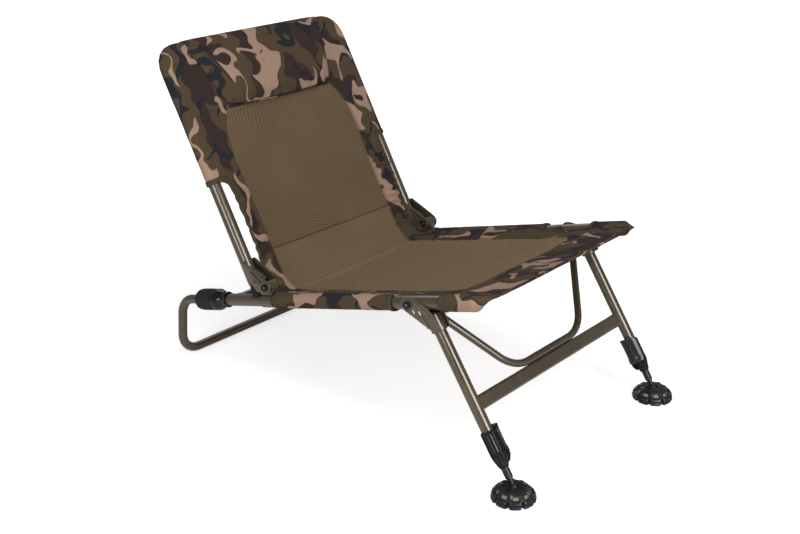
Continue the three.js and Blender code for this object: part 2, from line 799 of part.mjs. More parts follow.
// Ribbed clamp body with two lugs for the lever pin, on the inner side of the leg
function clampBody(inward) {
  const radius = clampDiameter / 2;
  const nose = clampNoseDiameter / 2;
  const height = clampBottom - clampTop;
  const rows = [
    [-clampTop, radius - clampRibDepth, 0],
    [-clampTop - clampRibDepth, radius, clampRibDepth],
    [-clampTop - clampShoulder, radius, clampRibDepth],
    [-clampBottom + clampRibDepth, nose, 0],
    [-clampBottom, nose - clampRibDepth, 0],
  ];
  const sections = rows.map(([along, rowRadius, depth]) => ({
    along,
    outline: circlePoints(1, 4 * clampRibs).map((point, i) => (
      point.multiplyScalar(rowRadius - (i % 4 < 2 ? 0 : depth))
    )),
  }));
  const body = loft(sections, (point, section) => new THREE.Vector3(-point.x, point.y, section.along));
  const lugs = [-1, 1].map((end) => {
    const y = end * (leverWidth / 2 + leverGap / 2 + lugThickness / 2);
    return box(lugReach, lugThickness, lugHeight, inward * (lugReach / 2), y, -leverPinDistance);
  });
  const tubeSpace = roundBar(legTubeRadius + clearance, 2 * (legTubeBottom - clampTop + clearance), "z");
  tubeSpace.translate(0, 0, -clampTop);
  const innerSpace = roundBar(innerLegDiameter / 2 + clearance, 2 * height + cutOverrun, "z");
  innerSpace.translate(0, 0, -clampBottom);
  const pinHole = roundBar(leverPinDiameter / 2 + clearance, 2 * leverPinReach, "y", smallSides);
  pinHole.translate(inward * leverPinReach, 0, -leverPinDistance);
  const leverRoom = box(
    lugReach, leverWidth + leverGap, leverLength * 2,
    inward * (leverBack() - leverGap / 2 + lugReach / 2), 0, -leverPinDistance,
  );
  return cut(join(body, ...lugs), tubeSpace, innerSpace, pinHole, leverRoom).translate(0, -legOffset, 0);
}

function leverBack() {
  return clampDiameter / 2 - leverThickness / 4;
}

function leverPin(inward) {
  const length = leverWidth + 2 * lugThickness + leverGap + leverPinDiameter;
  const pin = roundBar(leverPinDiameter / 2, length, "y", smallSides);
  return pin.translate(inward * leverPinReach, -legOffset, -leverPinDistance);
}

// Cam lever: a curved paddle that lies up the clamp, pivoting on its pin
function camLever(inward) {
  const knuckle = leverPinReach - leverBack();
  const back = leverBack();
  const top = leverLength;
  const outer = back + leverThickness;
  const profile = [
    ...arcPoints(new THREE.Vector2(leverPinReach, 0), knuckle, knuckleFrom, knuckleTo, knuckleSteps),
    new THREE.Vector2(outer + leverThickness / 4, top / 3),
    new THREE.Vector2(outer, top - leverThickness / 2),
    new THREE.Vector2(outer - leverThickness / 2, top),
    new THREE.Vector2(back, top),
  ];
  const settings = { depth: leverWidth, bevelEnabled: false };
  const lever = new THREE.ExtrudeGeometry(new THREE.Shape(profile), settings);
  lever.applyMatrix4(new THREE.Matrix4().makeBasis(
    new THREE.Vector3(inward, 0, 0),
    new THREE.Vector3(0, 0, 1),
    new THREE.Vector3(0, -inward, 0),
  ));
  lever.translate(0, (inward * leverWidth) / 2, -leverPinDistance);
  const hole = roundBar(leverPinDiameter / 2 + clearance, leverWidth + 2 * cutOverrun, "y", smallSides);
  hole.translate(inward * leverPinReach, 0, -leverPinDistance);
  return cut(lever, hole).translate(0, -legOffset, 0);
}

function innerLeg() {
  const end = ballDistance;
  const ballRadius = ballDiameter / 2;
  const neckRadius = innerLegNeckDiameter / 2;
  const coneEnd = -end + 1.5 * ballRadius;
  const rows = [
    [-innerLegTop, 0],
    [-innerLegTop, innerLegDiameter / 2],
    [coneEnd + innerLegConeLength, innerLegDiameter / 2],
    [coneEnd, neckRadius],
  ];
  const first = Math.asin(neckRadius / ballRadius);
  for (let i = 0; i <= ballSteps; i += 1) {
    const angle = first + ((Math.PI - first) * i) / ballSteps;
    const radius = i === ballSteps ? 0 : ballRadius * Math.sin(angle);
    rows.push([-end + ballRadius * Math.cos(angle), radius]);
  }
  return turned(rows.reverse(), smallSides).rotateX(Math.PI / 2).translate(0, -legOffset, 0);
}

for (const side of sides) {
  const group = sideGroup(legFrame, side);
  add(group, `leg_bracket_${side.name}`, legBracket(), finishes.paint());
  add(group, `leg_plug_${side.name}`, legPlug(), finishes.blackPlastic());
  add(group, `leg_tube_${side.name}`, legTube(), finishes.paint());
  add(group, `clamp_body_${side.name}`, clampBody(-side.sign), finishes.blackPlastic());
  add(group, `lever_pin_${side.name}`, leverPin(-side.sign), finishes.steel());
  add(group, `cam_lever_${side.name}`, camLever(-side.sign), finishes.blackPlastic());
  add(group, `inner_leg_${side.name}`, innerLeg(), finishes.steel());
}
add(legFrame, "leg_crossbar", legCrossbar(), finishes.paint());
add(legFrame, "leg_brace", legBrace(), finishes.paint());

// Mud foot: a lobed dome with windows round its wall and a socket under the ball
function mudFoot() {
  const rim = footDiameter / 2;
  const crown = footCrownDiameter / 2;
  const shell = (inset, lowest) => {
    const shoulder = (rim + crown) / 2 + footLobeDepth - inset;
    const rows = [
      [lowest, rim - inset, footLobeDepth],
      [footRimHeight - inset / 2, rim - inset, footLobeDepth],
      [(footRimHeight + footCrownHeight) / 2 - inset, shoulder, footLobeDepth / 2],
      [footCrownHeight - inset, crown - inset / 2, 0],
    ];
    const sections = rows.map(([along, radius, depth]) => ({
      along,
      outline: circlePoints(1, 2 * footLobes).map((point, i) => point.multiplyScalar(radius - (i % 2) * depth)),
    }));
    return loft(sections, (point, section) => new THREE.Vector3(point.x, point.y, section.along));
  };
  const inside = shell(footWall, -cutOverrun);
  const windows = [];
  for (let i = 0; i < footLobes; i += 1) {
    const angle = (2 * Math.PI * i) / footLobes;
    const middle = footWindowSill + footWindowHeight / 2;
    const window = box(rim / 2, footWindowWidth, footWindowHeight, rim, 0, middle);
    windows.push(window.rotateZ(angle));
  }
  const socket = turned([
    [footCrownHeight - 2 * footWall, 0],
    [footCrownHeight - 2 * footWall, crown - footWall],
    [footCrownHeight, socketDiameter / 2 + footWall / 2],
    [socketHeight, socketDiameter / 2],
    [socketHeight, 0],
  ]).rotateX(Math.PI / 2);
  const post = turned([
    [ballHeight - ballDiameter, 0],
    [ballHeight - ballDiameter, socketDiameter / 2 - footWall / 2],
    [footCrownHeight, socketDiameter / 2],
    [footCrownHeight, 0],
  ]).rotateX(Math.PI / 2);
  const ballSpace = new THREE.SphereGeometry(ballDiameter / 2 + 2 * clearance, smallSides, smallSides / 2);
  ballSpace.translate(0, 0, ballHeight);
  const mouth = turned([
    [0, 0],
    [socketHeight, socketHeight * Math.tan(radians(socketMouthAngle))],
    [socketHeight, 0],
  ]).rotateX(Math.PI / 2).translate(0, 0, ballHeight);
  const dome = cut(shell(0, 0), inside, ...windows);
  return cut(join(dome, socket, post), ballSpace, mouth);
}

const ballPlace = new THREE.Vector2(
  legPivot.x - legOffset * Math.cos(radians(legLean)) - ballDistance * Math.sin(radians(legLean)),
  ballHeight,
);
for (const side of sides) {
  const foot = add(sideGroup(chair, side), `mud_foot_${side.name}`, mudFoot(), finishes.blackPlastic());
  foot.position.y = ballPlace.x;
}

// Section across the sling: a thin sagging panel with a rounded sleeve or edge at each side
function slingSection({ edgeX, edgeRise, edgeRadius, tipX, surface, sag, edgeSteps }) {
  const half = [];
  const lower = surface - clothThickness;
  for (let i = 0; i <= edgeSteps; i += 1) {
    const angle = radians(THREE.MathUtils.lerp(-edgeSweep, edgeSweep, i / edgeSteps));
    half.push(new THREE.Vector2(edgeX + edgeRadius * Math.cos(angle), edgeRise + edgeRadius * Math.sin(angle)));
  }
  const panelHalf = (rise) => panelShares.map((share) => (
    new THREE.Vector2(tipX * share, rise - sag * (1 - share ** 2))
  ));
  const upperHalf = panelHalf(surface);
  const lowerHalf = panelHalf(lower);
  const middleUp = new THREE.Vector2(0, surface - sag);
  const middleDown = new THREE.Vector2(0, lower - sag);
  const mirror = (point) => new THREE.Vector2(-point.x, point.y);
  return [
    ...half,
    ...upperHalf,
    middleUp,
    ...upperHalf.map(mirror).reverse(),
    ...half.map(mirror).reverse(),
    ...lowerHalf.map(mirror),
    middleDown,
    ...lowerHalf.reverse(),
  ];
}

// Seat cover: front pockets over the tube ends, bare windows at the leg bolts, then side sleeves
function seatCover() {
  const sleeve = { edgeX: halfTrack, edgeRise: 0, edgeRadius: sleeveRadius, tipX: sleeveTip };
  const halfCloth = clothThickness / 2;
  const bareTip = freeEdge - clothThickness;
  const bare = { edgeX: freeEdge, edgeRise: seatSurface, edgeRadius: halfCloth, tipX: bareTip };
  const hem = { edgeX: hemHalfWidth, edgeRise: hemRise, edgeRadius: halfCloth, tipX: sleeveTip };
  const row = (station, edge, sagShare, rise = 0) => ({
    station,
    outline: slingSection({
      ...edge,
      surface: seatSurface + rise + halfCloth,
      sag: seatSag * sagShare,
      edgeSteps: sleeveSteps,
    }),
  });
  const nose = noseRows.map(({ reachShare, openShare, sagShare, riseShare }) => {
    const edge = {
      edgeX: THREE.MathUtils.lerp(hemHalfWidth, halfTrack, openShare),
      edgeRise: hemRise * riseShare,
      edgeRadius: THREE.MathUtils.lerp(halfCloth, sleeveRadius, openShare),
      tipX: sleeveTip,
    };
    return row(-hemReach * reachShare, edge, sagShare, hemRise * riseShare);
  });
  const rows = [
    row(-hemReach, hem, 0, hemRise - seatSurface),
    ...nose,
    row(0, sleeve, tubeEndSagShare),
    row(pocketRear, sleeve, pocketSagShare),
    row(pocketRear + clothThickness, bare, pocketSagShare),
    row(windowRear - clothThickness, bare, windowSagShare),
    row(windowRear, sleeve, windowSagShare),
    row((windowRear + sleeveRear) / 2, sleeve, 1),
    row(sleeveRear, sleeve, rearSagShare),
    row(sleeveRear + clothThickness, bare, rearSagShare),
    row(seatJoin, bare, joinSagShare),
  ];
  const cloth = loft(rows, (point, section) => new THREE.Vector3(-point.x, section.station, point.y));
  const bores = sides.map(({ sign }) => {
    const bore = roundBar(sleeveSeat(), seatTubeLength, "y");
    return bore.translate(sign * halfTrack, seatTubeLength / 2 - clearance, 0);
  });
  return cut(cloth, ...bores);
}
add(seatFrame, "seat_cover", seatCover(), finishes.cloth());

// Back cover: a panel in front of the tubes and a sleeve over the frame's upper half
function backCover() {
  const turn = radians(backRecline - seatTilt);
  const origin = new THREE.Vector2(0, 0);
  const halfCloth = clothThickness / 2;
  const panelY = backTubeOffset - backSurface;
  const start = new THREE.Vector2(seatJoin + clearance - hingeStation, seatSurface - hingeRise);
  start.rotateAround(origin, turn);
  const lead = new THREE.Vector2(lumbarLead, 0).rotateAround(origin, turn);
  const bend = new THREE.CubicBezierCurve(
    start,
    start.clone().add(lead),
    new THREE.Vector2(panelY, lumbarLead),
    new THREE.Vector2(panelY, lumbarTop),
  );
  const row = (place, heading, halfWidth, sag) => ({
    place,
    heading,
    outline: slingSection({
      edgeX: halfWidth,
      edgeRise: 0,
      edgeRadius: halfCloth,
      tipX: halfWidth - clothThickness,
      surface: halfCloth,
      sag,
      edgeSteps: hemSteps,
    }),
  });
  const rows = [];
  for (let i = 0; i <= lumbarRows; i += 1) {
    const share = i / lumbarRows;
    const sag = THREE.MathUtils.lerp(seatSag * joinSagShare, backSag, share);
    rows.push(row(bend.getPoint(share), bend.getTangent(share).angle(), backFreeEdge, sag));
  }
  const upright = (z, halfWidth, sagShare) => (
    row(new THREE.Vector2(panelY, z), Math.PI / 2, halfWidth, backSag * sagShare)
  );
  const sleeveEdge = halfTrack - clothThickness;
  rows.push(upright(backSleeveFoot - clothThickness, backFreeEdge, 1));
  rows.push(upright(backSleeveFoot, sleeveEdge, 1));
  rows.push(upright(padFoot, sleeveEdge, 1));
  const cornerEnd = Math.asin(1 - clothThickness / backCornerRadius);
  for (let i = 0; i <= bendSteps; i += 1) {
    const angle = (cornerEnd * i) / bendSteps;
    const z = backHeight - backCornerRadius * (1 - Math.sin(angle));
    const halfWidth = sleeveEdge - backCornerRadius * (1 - Math.cos(angle));
    rows.push(upright(z, halfWidth, (backHeight - z) / padTall));
  }
  const panel = loft(rows, (point, section) => new THREE.Vector3(
    -point.x,
    section.place.x - point.y * Math.sin(section.heading),
    section.place.y + point.y * Math.cos(section.heading),
  ));
  const sleeve = barAlong(backRoute(backSleeveFoot), sleeveRadius, roundSides);
  const bore = barAlong(backRoute(backSleeveFoot - cutOverrun), backTubeRadius + clearance, roundSides);
  return cut(join(panel, sleeve), bore);
}

// Headrest pad: a crowned cushion, puffed at its lower edge and thin where it meets the top bar
function headPad() {
  const backY = backTubeOffset - sleeveRadius - clearance;
  const sections = padHeightShares.map((heightShare, index) => {
    const widthShare = THREE.MathUtils.lerp(padFootWidthShare, padTopWidthShare, heightShare);
    const halfWidth = halfTrack * widthShare;
    const crown = padCrown * padCrownShares[index];
    const front = padAcrossShares.map((share) => (
      new THREE.Vector2(halfWidth * share, padEdge + crown * Math.sqrt(1 - share ** 4))
    ));
    const back = padAcrossShares.map((share) => new THREE.Vector2(halfWidth * share, 0));
    return { outline: [...back, ...front.reverse()], z: padFoot + padTall * heightShare };
  });
  return loft(sections, (point, section) => new THREE.Vector3(-point.x, backY - point.y, section.z));
}
add(backFrame, "back_cover", backCover(), finishes.mesh());
add(backFrame, "head_pad", headPad(), finishes.cloth());

// The origin stands on the ground at the middle of the chair's footprint
const frontEnd = ballPlace.x - footDiameter / 2;
const backTop = new THREE.Vector2(backTubeOffset, backHeight);
const backTopY = backTop.x * Math.cos(radians(backRecline)) + backTop.y * Math.sin(radians(backRecline));
const rearEnd = hingePlace.x + backTopY + sleeveRadius;
chair.position.y = -(frontEnd + rearEnd) / 2;

export default chair;
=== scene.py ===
import json
import math

import bmesh
import bpy
import numpy as np
from mathutils import Matrix, Vector, geometry, noise


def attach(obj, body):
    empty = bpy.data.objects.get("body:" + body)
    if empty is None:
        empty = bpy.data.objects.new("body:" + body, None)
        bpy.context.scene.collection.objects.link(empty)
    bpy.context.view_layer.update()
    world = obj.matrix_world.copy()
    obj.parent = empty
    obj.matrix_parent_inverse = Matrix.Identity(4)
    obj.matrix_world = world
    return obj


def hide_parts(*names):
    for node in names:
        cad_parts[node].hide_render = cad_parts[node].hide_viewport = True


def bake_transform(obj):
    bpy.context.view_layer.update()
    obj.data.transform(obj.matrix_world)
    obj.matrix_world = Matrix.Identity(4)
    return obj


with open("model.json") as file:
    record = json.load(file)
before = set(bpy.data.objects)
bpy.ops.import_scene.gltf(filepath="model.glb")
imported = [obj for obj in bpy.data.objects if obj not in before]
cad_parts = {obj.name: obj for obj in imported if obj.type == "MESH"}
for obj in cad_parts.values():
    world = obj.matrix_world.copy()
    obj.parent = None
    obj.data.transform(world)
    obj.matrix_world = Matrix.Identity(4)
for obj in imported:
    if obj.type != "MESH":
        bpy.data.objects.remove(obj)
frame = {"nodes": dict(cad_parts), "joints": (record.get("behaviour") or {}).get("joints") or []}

bl_info = {
    "name": "Carp chair dressing",
    "version": (1, 0, 0),
    "blender": (4, 5, 0),
    "location": "View3D > Sidebar > Carp chair",
    "description": "Makes the cloth, tubes, fittings and studio stage of a low folding carp chair",
    "category": "Object",
}

MM = 1000
IN_METRES = Matrix.Scale(0.001, 4)
SIDES = (("left", 1), ("right", -1))
# Sizes in millimetres and angles in degrees. A station lies along the side tubes, a rise square to them.
HALF_TRACK = 245.0
SEAT_TILT = 15.0
BACK_RECLINE = 29.8
LEG_LEAN = 34.1
HINGE_STATION = 502.0
HINGE_RISE = 30.2
TUBE_OFFSET = 42.4
LEG_OFFSET = 32.0
TURN_TO_Y = Matrix.Rotation(math.radians(-90), 4, "X")
TURN_TO_X = Matrix.Rotation(math.radians(90), 4, "Y")


def linear(hex_colour):
    """Linear colour, with alpha, of an sRGB hex value."""
    channels = [int(hex_colour[i:i + 2], 16) / 255 for i in (1, 3, 5)]
    return tuple(c / 12.92 if c <= 0.04045 else ((c + 0.055) / 1.055) ** 2.4 for c in channels) + (1.0,)


def joint_place(name):
    """A joint's place in millimetres."""
    return Vector(next(j for j in frame["joints"] if j["name"] == name)["pos_m"]) * MM


def leaned(origin, degrees):
    """From a leaned frame in millimetres to the row frame in metres."""
    turn = Matrix.Rotation(-math.radians(degrees), 4, "X")
    return IN_METRES @ Matrix.Translation(origin) @ turn


BACK = leaned(joint_place("back_fold"), BACK_RECLINE)
LEG = leaned(joint_place("leg_fold"), LEG_LEAN)
SEAT = leaned(joint_place("back_fold"), SEAT_TILT) @ Matrix.Translation((0, -HINGE_STATION, -HINGE_RISE))
BALL_DISTANCE = -(LEG.inverted() @ (joint_place("foot_tilt_left") / MM)).z
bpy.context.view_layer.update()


# Forms, made in millimetres

# A corner flatter than this is left alone, and a rounding takes at most this share of each side
NEARLY_STRAIGHT = math.radians(168)
CUT_SHARE = 0.45
TUBE_END_SOFTNESS = 0.6


def unit(value):
    """A value held between 0 and 1."""
    return max(0.0, min(1.0, value))


def net(rows, count, closed=True):
    """Faces of a net of rows of count points each; a closed one joins each row's ends."""
    faces = []
    for row in range(rows - 1):
        for i in range(count if closed else count - 1):
            a, b = row * count + i, row * count + (i + 1) % count
            faces.append((a, b, b + count, a + count))
    return faces


def rounded(points, radius, closed=True, steps=3):
    """An outline with its corners rounded."""
    corners = [np.array(point, float) for point in points]
    made = []
    for i, corner in enumerate(corners):
        if not closed and i in (0, len(corners) - 1):
            made.append(corner)
            continue
        before, after = corners[i - 1] - corner, corners[(i + 1) % len(corners)] - corner
        reach_before, reach_after = np.linalg.norm(before), np.linalg.norm(after)
        cosine = float(before @ after) / (reach_before * reach_after)
        angle = math.acos(max(-1, min(1, cosine)))
        if angle > NEARLY_STRAIGHT:
            made.append(corner)
            continue
        cut = min(radius / math.tan(angle / 2), CUT_SHARE * reach_before, CUT_SHARE * reach_after)
        start, end = corner + before / reach_before * cut, corner + after / reach_after * cut
        for step in range(steps + 1):
            t = step / steps
            made.append((1 - t) ** 2 * start + 2 * t * (1 - t) * corner + t ** 2 * end)
    return [tuple(point) for point in made]


def arc(centre, radius, first, last, steps):
    """Points of an arc, its angles in degrees."""
    angles = np.radians(np.linspace(first, last, steps + 1))
    return [(centre[0] + radius * math.cos(a), centre[1] + radius * math.sin(a)) for a in angles]


def oval(height, width, sides):
    """An oval section for a route that lies flat in X."""
    return [(height * y, width * x) for x, y in arc((0, 0), 1, 0, 360, sides)[:-1]]


def turned(profile, sides=48, wave=None):
    """A turned form about Z from rows of (along, radius); a last row equal to the first makes a ring."""
    ring = tuple(profile[0]) == tuple(profile[-1])
    rows = profile[:-1] if ring else profile
    points, starts, faces = [], [], []
    for along, radius in rows:
        single = radius < 1e-6
        starts.append((len(points), single))
        for i in range(1 if single else sides):
            angle = 2 * math.pi * i / sides
            reach = radius * (1 + (wave(angle, along) if wave else 0))
            points.append((reach * math.cos(angle), reach * math.sin(angle), along))
    pairs = list(zip(starts, starts[1:]))
    if ring:
        pairs.append((starts[-1], starts[0]))
    for (a, a_single), (b, b_single) in pairs:
        for i in range(sides):
            j = (i + 1) % sides
            corners = [a if a_single else a + i, b if b_single else b + i,
                       b if b_single else b + j, a if a_single else a + j]
            face = tuple(dict.fromkeys(corners))
            if len(face) > 2:
                faces.append(face)
    return points, faces


def bent(corners, radii, steps=12):
    """A route through corners, each rounded to its bend radius."""
    corners = [Vector(corner) for corner in corners]
    route = [corners[0]]
    for i, radius in enumerate(radii, 1):
        arriving = (corners[i] - corners[i - 1]).normalized()
        leaving = (corners[i + 1] - corners[i]).normalized()
        turn = arriving.angle(leaving)
        start = corners[i] - arriving * radius * math.tan(turn / 2)
        inward = (leaving - arriving * math.cos(turn)).normalized()
        for step in range(steps + 1):
            angle = turn * step / steps
            onward, sideways = math.sin(angle), 1 - math.cos(angle)
            route.append(start + arriving * radius * onward + inward * radius * sideways)
    return route + [corners[-1]]


def swept(route, section, capped=True):
    """A section carried along a route without twist."""
    route = [Vector(point) for point in route]
    points = []
    count = len(section)
    tangent = (route[1] - route[0]).normalized()
    side = tangent.orthogonal().normalized()
    for i, place in enumerate(route):
        onward = (route[min(i + 1, len(route) - 1)] - route[max(i - 1, 0)]).normalized()
        side = (tangent.rotation_difference(onward) @ side).normalized()
        side = (side - onward * side.dot(onward)).normalized()
        tangent = onward
        up = onward.cross(side)
        points += [place + side * x + up * y for x, y in section]
    faces = net(len(route), count)
    if capped:
        faces.append(tuple(range(count))[::-1])
        faces.append(tuple(range((len(route) - 1) * count, len(route) * count)))
    return points, faces


def bar(route, radius, sides=28):
    """A round bar along a route, its ends softened."""
    route = [Vector(point) for point in route]
    first, last = (route[1] - route[0]).normalized(), (route[-1] - route[-2]).normalized()
    circle = [(radius * x, radius * y) for x, y in arc((0, 0), 1, 0, 360, sides)[:-1]]
    points, faces = swept(route, circle, False)
    ends = []
    for start, place, outward in ((0, route[0], -first), (len(points) - sides, route[-1], last)):
        rim = len(points)
        inset = 1 - TUBE_END_SOFTNESS / radius
        points += [place + (Vector(point) - place) * inset + outward * TUBE_END_SOFTNESS
                   for point in points[start:start + sides]]
        for i in range(sides):
            j = (i + 1) % sides
            faces.append((start + i, start + j, rim + j, rim + i))
        ends.append(tuple(range(rim, rim + sides)))
    return points, faces + ends


def grown(loop, amount, is_hole):
    """An outline moved away from its solid side by an amount."""
    corners = [np.array(point, float) for point in loop]
    area = sum(a[0] * b[1] - b[0] * a[1] for a, b in zip(corners, corners[1:] + corners[:1]))
    sign = (1 if area > 0 else -1) * (-1 if is_hole else 1)
    made = []
    for i, corner in enumerate(corners):
        before, after = corner - corners[i - 1], corners[(i + 1) % len(corners)] - corner
        normals = [np.array((d[1], -d[0])) / max(np.linalg.norm(d), 1e-9) for d in (before, after)]
        middle = normals[0] + normals[1]
        middle = middle / max(float(middle @ middle) / 2, 0.3)
        made.append(corner + sign * amount * middle)
    return made


def plate(outer, holes, low, high, edge=0.5):
    """An outline in the plane of the first two axes, with holes, between two heights, its rims rounded."""
    loops = [outer, *holes]
    turn = edge * 0.3
    layers = [(-edge, low), (-turn, low + turn), (0, low + edge),
              (0, high - edge), (-turn, high - turn), (-edge, high)]
    points, faces, starts = [], [], []
    for amount, height in layers:
        starts.append([])
        for number, loop in enumerate(loops):
            starts[-1].append(len(points))
            points += [(x, y, height) for x, y in grown(loop, amount, number > 0)]
    for row in range(len(layers) - 1):
        for number, loop in enumerate(loops):
            a, b = starts[row][number], starts[row + 1][number]
            for i in range(len(loop)):
                j = (i + 1) % len(loop)
                faces.append((a + i, a + j, b + j, b + i))
    for row in (0, len(layers) - 1):
        corners = [[start + i for i in range(len(loop))] for start, loop in zip(starts[row], loops)]
        flat = [[Vector((*points[corner][:2], 0)) for corner in loop] for loop in corners]
        index = sum(corners, [])
        faces += [tuple(index[i] for i in face) for face in geometry.tessellate_polygon(flat)]
    return points, faces


def moved(form, matrix):
    """A form placed by a matrix."""
    points, faces = form
    return [matrix @ Vector(point) for point in points], faces


def together(*forms):
    """Several forms as one."""
    points, faces = [], []
    for more_points, more_faces in forms:
        start = len(points)
        points += [Vector(point) for point in more_points]
        faces += [tuple(start + i for i in face) for face in more_faces]
    return points, faces


def linked(name, data):
    """An object of the data, in the scene."""
    made = bpy.data.objects.new(name, data)
    bpy.context.scene.collection.objects.link(made)
    return made


def meshed(name, points, faces, finishes=()):
    """A mesh object from points in metres, with its finishes."""
    mesh = bpy.data.meshes.new(name)
    mesh.from_pydata([tuple(point) for point in points], [], faces)
    for material in finishes:
        mesh.materials.append(FINISHES[material])
    return linked(name, mesh)


# Material slots of the finishes that aren't black plastic
SLOTS = {"paint": "frame_paint", "pressed": "frame_paint", "oxide": "bolt_steel", "zinc": "bolt_steel",
         "rubber": "bumper_rubber", "leg": "leg_steel"}


def make(name, form, place, finish, body, *nodes, smooth=35, slot=None):
    """A piece from a form: placed, finished, riding on its body and standing for its CAD nodes."""
    piece = meshed(name, *moved(form, place), [finish])
    mesh = piece.data
    mesh.validate()
    face_outward(mesh)
    mesh.shade_smooth()
    mesh.set_sharp_from_angle(angle=math.radians(smooth))
    if body:
        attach(piece, body)
    slot or SLOTS.get(finish, "black_plastic")
    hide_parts(*nodes)
    return piece


def face_outward(mesh):
    """Turns every face of a closed mesh outward."""
    edited = bmesh.new()
    edited.from_mesh(mesh)
    bmesh.ops.recalc_face_normals(edited, faces=edited.faces)
    edited.to_mesh(mesh)
    edited.free()


def aside(x):
    """A move across to one side."""
    return Matrix.Translation((x, 0, 0))


# Finishes

# Where most of a noise's values lie
NOISE_SPAN = {"From Min": 0.3, "From Max": 0.7}


def add(tree, kind, inputs=None, out=0, **settings):
    """Adds a shader node with its settings, and its inputs as values or links; gives one of its outputs."""
    made = tree.nodes.new("ShaderNode" + kind)
    for name, value in settings.items():
        setattr(made, name, value)
    for name, value in (inputs or {}).items():
        if isinstance(value, bpy.types.NodeSocket):
            tree.links.new(value, made.inputs[name])
        else:
            socket = made.inputs[name]
            socket.default_value = value[:3] if socket.type == "VECTOR" else value
    return made.outputs[out]


def finish(name, surface, build):
    """A material: its surface's own settings, and what build adds to its node tree."""
    material = bpy.data.materials.new(name)
    material.use_nodes = True
    tree = material.node_tree
    shader = tree.nodes["Principled BSDF"]
    for socket, value in surface.items():
        shader.inputs[socket].default_value = value
    material.diffuse_color = build(tree, shader)
    return material


def dressed(tree, shader, colour, tone, height, strength, depth):
    """Gives a surface its colour times a tone, and relief from a height."""
    shade = add(tree, "VectorMath", {0: colour, "Scale": tone}, operation="SCALE")
    tree.links.new(shade, shader.inputs["Base Color"])
    relief = add(tree, "Bump", {"Strength": strength, "Distance": depth, "Height": height})
    tree.links.new(relief, shader.inputs["Normal"])


# Parts of a blob's length across which the print's edges wander, and the noise's frequency in blobs
SWAY_REACH = 0.8
SWAY_RATE = 1.5
# Half the step, in noise value, over which one colour gives way to the next
EDGE_STEP = 0.006
BAND_EDGE_STEP = 0.003
# Ribbons fade in over this much of the noise that cuts them off
BAND_FADE = 0.13


def woodland_print(tree, cloth):
    """Colour of a four-colour woodland camouflage print, from cloth coordinates in metres."""
    chair = bpy.context.scene.chair_cloth
    per_length = 1 / chair.blob_length
    sway = add(tree, "TexNoise", {"Vector": cloth, "Scale": per_length * SWAY_RATE, "Detail": 0.0}, "Color")
    sway = add(tree, "VectorMath", {0: sway, 1: (0.5, 0.5, 0.5)}, operation="SUBTRACT")
    sway = add(tree, "VectorMath", {0: sway, "Scale": chair.blob_length * SWAY_REACH}, operation="SCALE")
    swayed = add(tree, "VectorMath", {0: cloth, 1: sway}, operation="ADD")

    def field(across, along, place):
        """A noise stretched across and along the cloth, taken from its own place."""
        stretched = add(tree, "Mapping", {"Vector": swayed, "Location": (place, place * 0.7, 0),
                                          "Scale": (across * per_length, along * per_length, 1)})
        return add(tree, "TexNoise", {"Vector": stretched, "Scale": 1.0, "Detail": 0.0, "Roughness": 0.4})

    def over(value, level, step=EDGE_STEP):
        """1 where a value is over a level."""
        return add(tree, "MapRange", {"Value": value, "From Min": level - step, "From Max": level + step},
                   interpolation_type="SMOOTHSTEP")

    def band(value, width, mask, reach):
        """Ribbons along the noise's middle level, widened and cut off by a second noise."""
        away = add(tree, "Math", {0: value, 1: 0.5}, operation="SUBTRACT")
        away = add(tree, "Math", {0: away}, operation="ABSOLUTE")
        room = add(tree, "MapRange", {"Value": mask, "From Min": reach, "From Max": reach + BAND_FADE,
                                      "To Min": -0.02, "To Max": width})
        inside = add(tree, "Math", {0: room, 1: away}, operation="SUBTRACT")
        return over(inside, 0.0, BAND_EDGE_STEP)

    brown = over(field(1.15, 0.6, 3.1), 0.535)
    tan = band(field(1.0, 0.62, 11.7), 0.07, field(0.72, 0.5, 47.3), 0.45)
    # Black runs in branches that swell into patches
    black = band(field(1.1, 0.75, 23.4), 0.055, field(0.66, 0.55, 31.9), 0.45)
    colour = chair.olive
    for share, ink in ((brown, chair.brown), (black, chair.black), (tan, chair.tan)):
        colour = add(tree, "Mix", {0: share, 6: colour, 7: ink}, 2, data_type="RGBA")
    return colour


def cloth_place(tree):
    """The cloth's own coordinates in metres."""
    return add(tree, "UVMap", uv_map="cloth")


def woven(tree, shader, colour, cloth, apart, depth, gap_shade):
    """Two crossed sets of threads, apart by metres, as relief and as painted shade in the gap between them.
    """
    parts = add(tree, "SeparateXYZ", {0: cloth}).node.outputs
    ridges = []
    for axis in (0, 1):
        phase = add(tree, "Math", {0: parts[axis], 1: math.pi / apart}, operation="MULTIPLY")
        wave = add(tree, "Math", {0: phase}, operation="SINE")
        ridges.append(add(tree, "Math", {0: wave}, operation="ABSOLUTE"))
    height = add(tree, "Math", {0: ridges[0], 1: ridges[1]}, operation="MULTIPLY")
    # Painted shade: the gaps between the threads are darkened, the thread tops keep the colour
    tone = add(tree, "MapRange", {"Value": height, "From Min": 0.0, "From Max": 0.6,
                                  "To Min": gap_shade, "To Max": 1.04})
    dressed(tree, shader, colour, tone, height, 0.5, depth)


CLOTH_SURFACE = {"Roughness": 0.9, "IOR": 1.5, "Specular IOR Level": 0.08,
                 "Sheen Weight": 0.02, "Sheen Roughness": 0.5}
# Real threads 0.4 mm apart in the print and 0.6 mm in the canvas are drawn coarser, so that they show
PRINT_THREADS = 0.0014
CANVAS_THREADS = 0.0031


